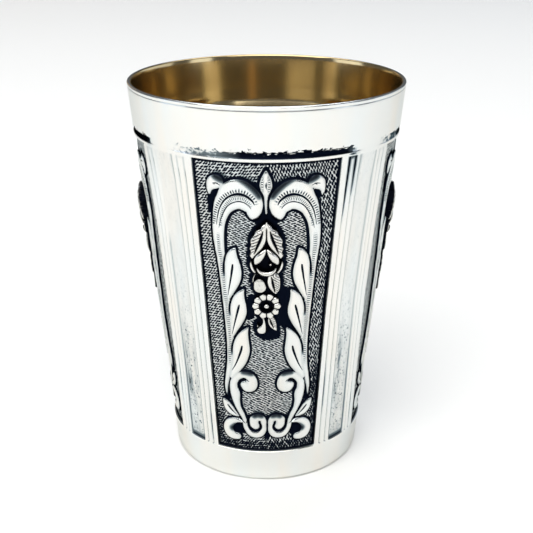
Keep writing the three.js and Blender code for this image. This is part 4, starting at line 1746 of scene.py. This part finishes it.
    def row(
        self, sketch: Sketch, radius: np.ndarray | float, z: float, oxide: np.ndarray | float = 0.0
    ) -> np.ndarray:
        """Adds one plain row of the quarter.

        Args:
            sketch: Sketch that takes it.
            radius: Radius of the row.
            z: Its height.
            oxide: Its blackening.

        Returns:
            The row's vertices.
        """
        points = self.beaker.around(np.radians(self.plain_angles), radius, z)
        return sketch.add(points, oxide=oxide, ring=self.ring_share, **PLAIN)

    def draw_foot(self, sketch: Sketch) -> np.ndarray:
        """Draws the underside, the rounded foot and the base band.

        Args:
            sketch: Sketch that takes them.

        Returns:
            The top row's vertices.
        """
        b = self.beaker
        profile = [(share * (b.foot_radius - self.foot_round), 0.0) for share in self.underside_rows]
        for turn in np.linspace(0, math.pi / 2, self.round_rows):
            z = self.foot_round * (1 - math.cos(turn))
            profile.append((b.side_radius(z) - self.foot_round * (1 - math.sin(turn)), z))
        profile += [(b.side_radius(z), z) for z in self.base_rows]
        rows = [self.row(sketch, radius, z) for radius, z in profile]
        sketch.weave(np.array(rows))
        sketch.close(rows[0], 0.0)
        return rows[-1]

    def draw_rim(self, sketch: Sketch) -> np.ndarray:
        """Draws the dark ring, the plain band, the lip and the inside down to its floor.

        Args:
            sketch: Sketch that takes them.

        Returns:
            The bottom row's vertices.
        """
        b = self.beaker
        drip = smooth(np.abs(self.plain_angles - self.drip_angle), *self.drip_angles)
        rows = [self.row(sketch, b.side_radius(z), z, drip) for z in self.fillet_rows]
        for share in np.linspace(0, 1, self.ring_rows):
            z = self.fillet_top + (self.ring_top - self.fillet_top) * share
            deep = self.ring_depth * math.sin(math.pi * share) ** self.ring_round
            rows.append(self.row(sketch, b.side_radius(z) - deep * self.ring_share, z))
        rows += [self.row(sketch, b.side_radius(z), z) for z in self.band_rows]
        for step, sink, oxide in self.lip_line_rows:
            z = b.height - self.lip_line + step
            rows.append(self.row(sketch, b.side_radius(z) - sink, z, oxide))
        half = self.wall / 2
        for turn in np.linspace(0, math.pi, self.lip_rows):
            z = b.height - self.lip_round * (1 - math.sin(turn))
            rows.append(self.row(sketch, b.side_radius(z) - half + half * math.cos(turn), z))
        gilt = len(rows) - self.gilt_rows
        sketch.weave(np.array(rows[:gilt]))
        self.draw_inside(sketch, rows[gilt - 1:])
        return rows[0]

    def draw_inside(self, sketch: Sketch, lip: list[np.ndarray]) -> None:
        """Draws the inside wall, swollen behind each panel, and the floor.

        Args:
            sketch: Sketch that takes them.
            lip: Rows of vertices of the lip's gilt side.
        """
        b = self.beaker
        half = b.panel_half_angle
        behind = smooth(np.abs(self.plain_angles), half + self.bulge_angle, half - self.bulge_angle)
        bottom = self.floor_thickness + self.floor_round
        (middle, upper_rows), (above_foot, lower_rows) = self.inside_upper, self.inside_lower
        heights = np.concatenate([
            np.linspace(b.height - self.lip_round, middle, upper_rows)[1:],
            np.linspace(middle, bottom + above_foot, lower_rows)[1:],
            np.linspace(bottom + above_foot, bottom, self.inside_foot_rows)[1:],
        ])
        ring = (self.fillet_top + self.ring_top) / 2
        rows = [*lip]
        for z in heights:
            bulge = self.inside_bulge * b.recess(z, self.bulge_run, self.bulge_run)
            ridge = self.ridge * math.exp(-(((z - ring) / self.ridge_half_width) ** 2))
            rows.append(self.row(sketch, b.side_radius(z) - self.wall - bulge * behind - ridge, z))
        floor_edge = b.side_radius(bottom) - self.wall
        for turn in np.linspace(0, math.pi / 2, self.round_rows)[1:]:
            radius = floor_edge - self.floor_round * (1 - math.cos(turn))
            rows.append(self.row(sketch, radius, bottom - self.floor_round * math.sin(turn)))
        for share in self.floor_rows:
            rows.append(self.row(sketch, share * (floor_edge - self.floor_round), self.floor_thickness))
        sketch.weave(np.array(rows), inside=True)
        sketch.close(rows[-1], self.floor_thickness, inside=True)

    def quarter(self) -> Sketch:
        """Draws one quarter of the beaker.

        Returns:
            The sketch, from the middle of one strip to the middle of the next.
        """
        sketch = Sketch()
        panel, columns, heights = self.draw_panel(sketch)
        left, right, strip_heights = self.draw_strips(sketch)
        sketch.zip_up(left[:, -1], strip_heights, panel[:, 0], heights)
        sketch.zip_up(panel[:, -1], heights, right[:, 0], strip_heights)
        strip = np.array(self.strip_columns)
        angles = np.concatenate([-strip[::-1], columns, strip])
        bottom, top = (np.concatenate([left[end], panel[end], right[end]]) for end in (0, -1))
        sketch.zip_up(self.draw_foot(sketch), self.plain_angles, bottom, angles)
        sketch.zip_up(top, angles, self.draw_rim(sketch), self.plain_angles)
        return sketch

    def piece(
        self, copies: TurnedCopies, outside: bpy.types.Material, inside: bpy.types.Material
    ) -> bpy.types.Object:
        """Makes the whole beaker.

        Args:
            copies: Tree that turns the quarter round the axis.
            outside: Finish of the outside.
            inside: Finish of the inside.

        Returns:
            The piece.
        """
        mesh = copies.mesh(self.quarter().mesh("quarter"), len(Side), outside, inside)
        mesh.name = "chased_beaker"
        self.hand_drawn(mesh)
        return finished(mesh)


@dataclass(frozen=True)
class Softbox:
    """One soft lamp, in metres: its place, its size, how bright it looks beside white paper, its colour."""

    name: str
    place: tuple[float, float, float]
    size: Pair
    brightness: float
    colour: str = "#ffffff"

    def add(self) -> None:
        """Puts the lamp in the scene, aimed at the cup."""
        lamp = bpy.data.lights.new(self.name, "AREA")
        lamp.shape = "RECTANGLE"
        lamp.size, lamp.size_y = self.size
        lamp.energy = self.brightness * math.pi * lamp.size * lamp.size_y
        lamp.color = linear(self.colour)[:3]
        softbox = bpy.data.objects.new(lamp.name, lamp)
        softbox.location = self.place
        softbox.rotation_euler = (-Vector(self.place)).to_track_quat("-Z", "Y").to_euler()
        bpy.context.scene.collection.objects.link(softbox)


@dataclass
class Studio:
    """White floor, soft light from all round and the camera, in metres."""

    floor_size: float = 6.0
    camera_place: tuple[float, float, float] = (0.0, -0.217, 0.13159)
    camera_pitch: float = 0.3785
    focal_pixels: float = 973.0
    frame_pixels: float = 533.0
    sensor_mm: float = 36.0
    clip_start: float = 0.01
    sky: str = "#e6ebf2"
    sky_strength: float = 0.16
    lamps: tuple[Softbox, ...] = (
        Softbox("overhead_front", (-0.3, -0.6, 1.4), (1.6, 1.6), 2.3, "#fffdf8"),
        Softbox("overhead_back", (0.0, 1.6, 2.6), (2.4, 1.2), 4.0, "#f6f9ff"),
        Softbox("front", (-0.2, -1.2, 1.1), (2.6, 1.0), 2.1),
        Softbox("left", (-1.28, -0.23, 0.32), (0.7, 0.5), 1.5, "#e8f1ff"),
        Softbox("right", (1.15, 0.61, 0.32), (1.2, 0.5), 0.95, "#e8f1ff"),
        Softbox("right_front", (1.15, -0.61, 0.32), (0.5, 0.5), 1.4, "#e8f1ff"),
        Softbox("back_warm", (-0.57, 1.17, 0.36), (0.25, 0.5), 0.6, "#ffd9b0"),
    )

    def floor(self) -> None:
        """Lays the floor and marks it as stage."""
        half = self.floor_size / 2
        mesh = bpy.data.meshes.new("pale_floor")
        corners = [(-half, -half, 0), (half, -half, 0), (half, half, 0), (-half, half, 0)]
        mesh.from_pydata(corners, [], [(0, 1, 2, 3)])
        mesh.materials.append(WhitePaper().material())
        floor = bpy.data.objects.new(mesh.name, mesh)
        bpy.context.scene.collection.objects.link(floor)
        floor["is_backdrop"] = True

    def light(self) -> None:
        """Sets up the sky and the lamps."""
        world = bpy.data.worlds.new("Studio")
        world.use_nodes = True
        sky = world.node_tree.nodes["Background"]
        sky.inputs["Color"].default_value = linear(self.sky)
        sky.inputs["Strength"].default_value = self.sky_strength
        bpy.context.scene.world = world
        bpy.context.scene.view_settings.view_transform = "Standard"
        for lamp in self.lamps:
            lamp.add()

    def camera(self) -> None:
        """Sets up the camera at the photograph's angle."""
        lens = bpy.data.cameras.new("camera")
        lens.sensor_width = self.sensor_mm
        lens.lens = self.focal_pixels / self.frame_pixels * self.sensor_mm
        lens.clip_start = self.clip_start
        camera = bpy.data.objects.new(lens.name, lens)
        camera.location = self.camera_place
        camera.rotation_euler = (math.pi / 2 - self.camera_pitch, 0, 0)
        bpy.context.scene.collection.objects.link(camera)
        bpy.context.scene.camera = camera


def main() -> None:
    """Builds the cup and its studio, and puts every piece on its body."""
    logging.basicConfig(level=logging.INFO, format="%(name)s: %(message)s")
    low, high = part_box("cup_body")
    beaker = Beaker(height=high.z / MM, rim_radius=(high.x - low.x) / 2 / MM)
    copies = TurnedCopies()
    sprig = FlowerSprig(beaker)
    cup = CupBody(beaker, ChasedPanel(), sprig)
    body = cup.piece(copies, ChasedSilver().material(), GiltSilver().material())
    made = [(body, "cup_body", "silver")]
    for side, piece in sprig.pieces(copies, CastSilver().material()).items():
        made.append((piece, side.node, "cast_silver"))
    for piece, node, slot in made:
        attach(piece, BODY)
        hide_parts(node)
        LOG.info("%s: %d triangles", piece.name, sum(len(p.vertices) - 2 for p in piece.data.polygons))
    studio = Studio()
    studio.floor()
    studio.light()
    studio.camera()
    boxes = {"cad": CAD_BOX, "visual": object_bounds()}
    {name: [list(corner) for corner in box] for name, box in boxes.items()}


if __name__ == "__main__":
    main()
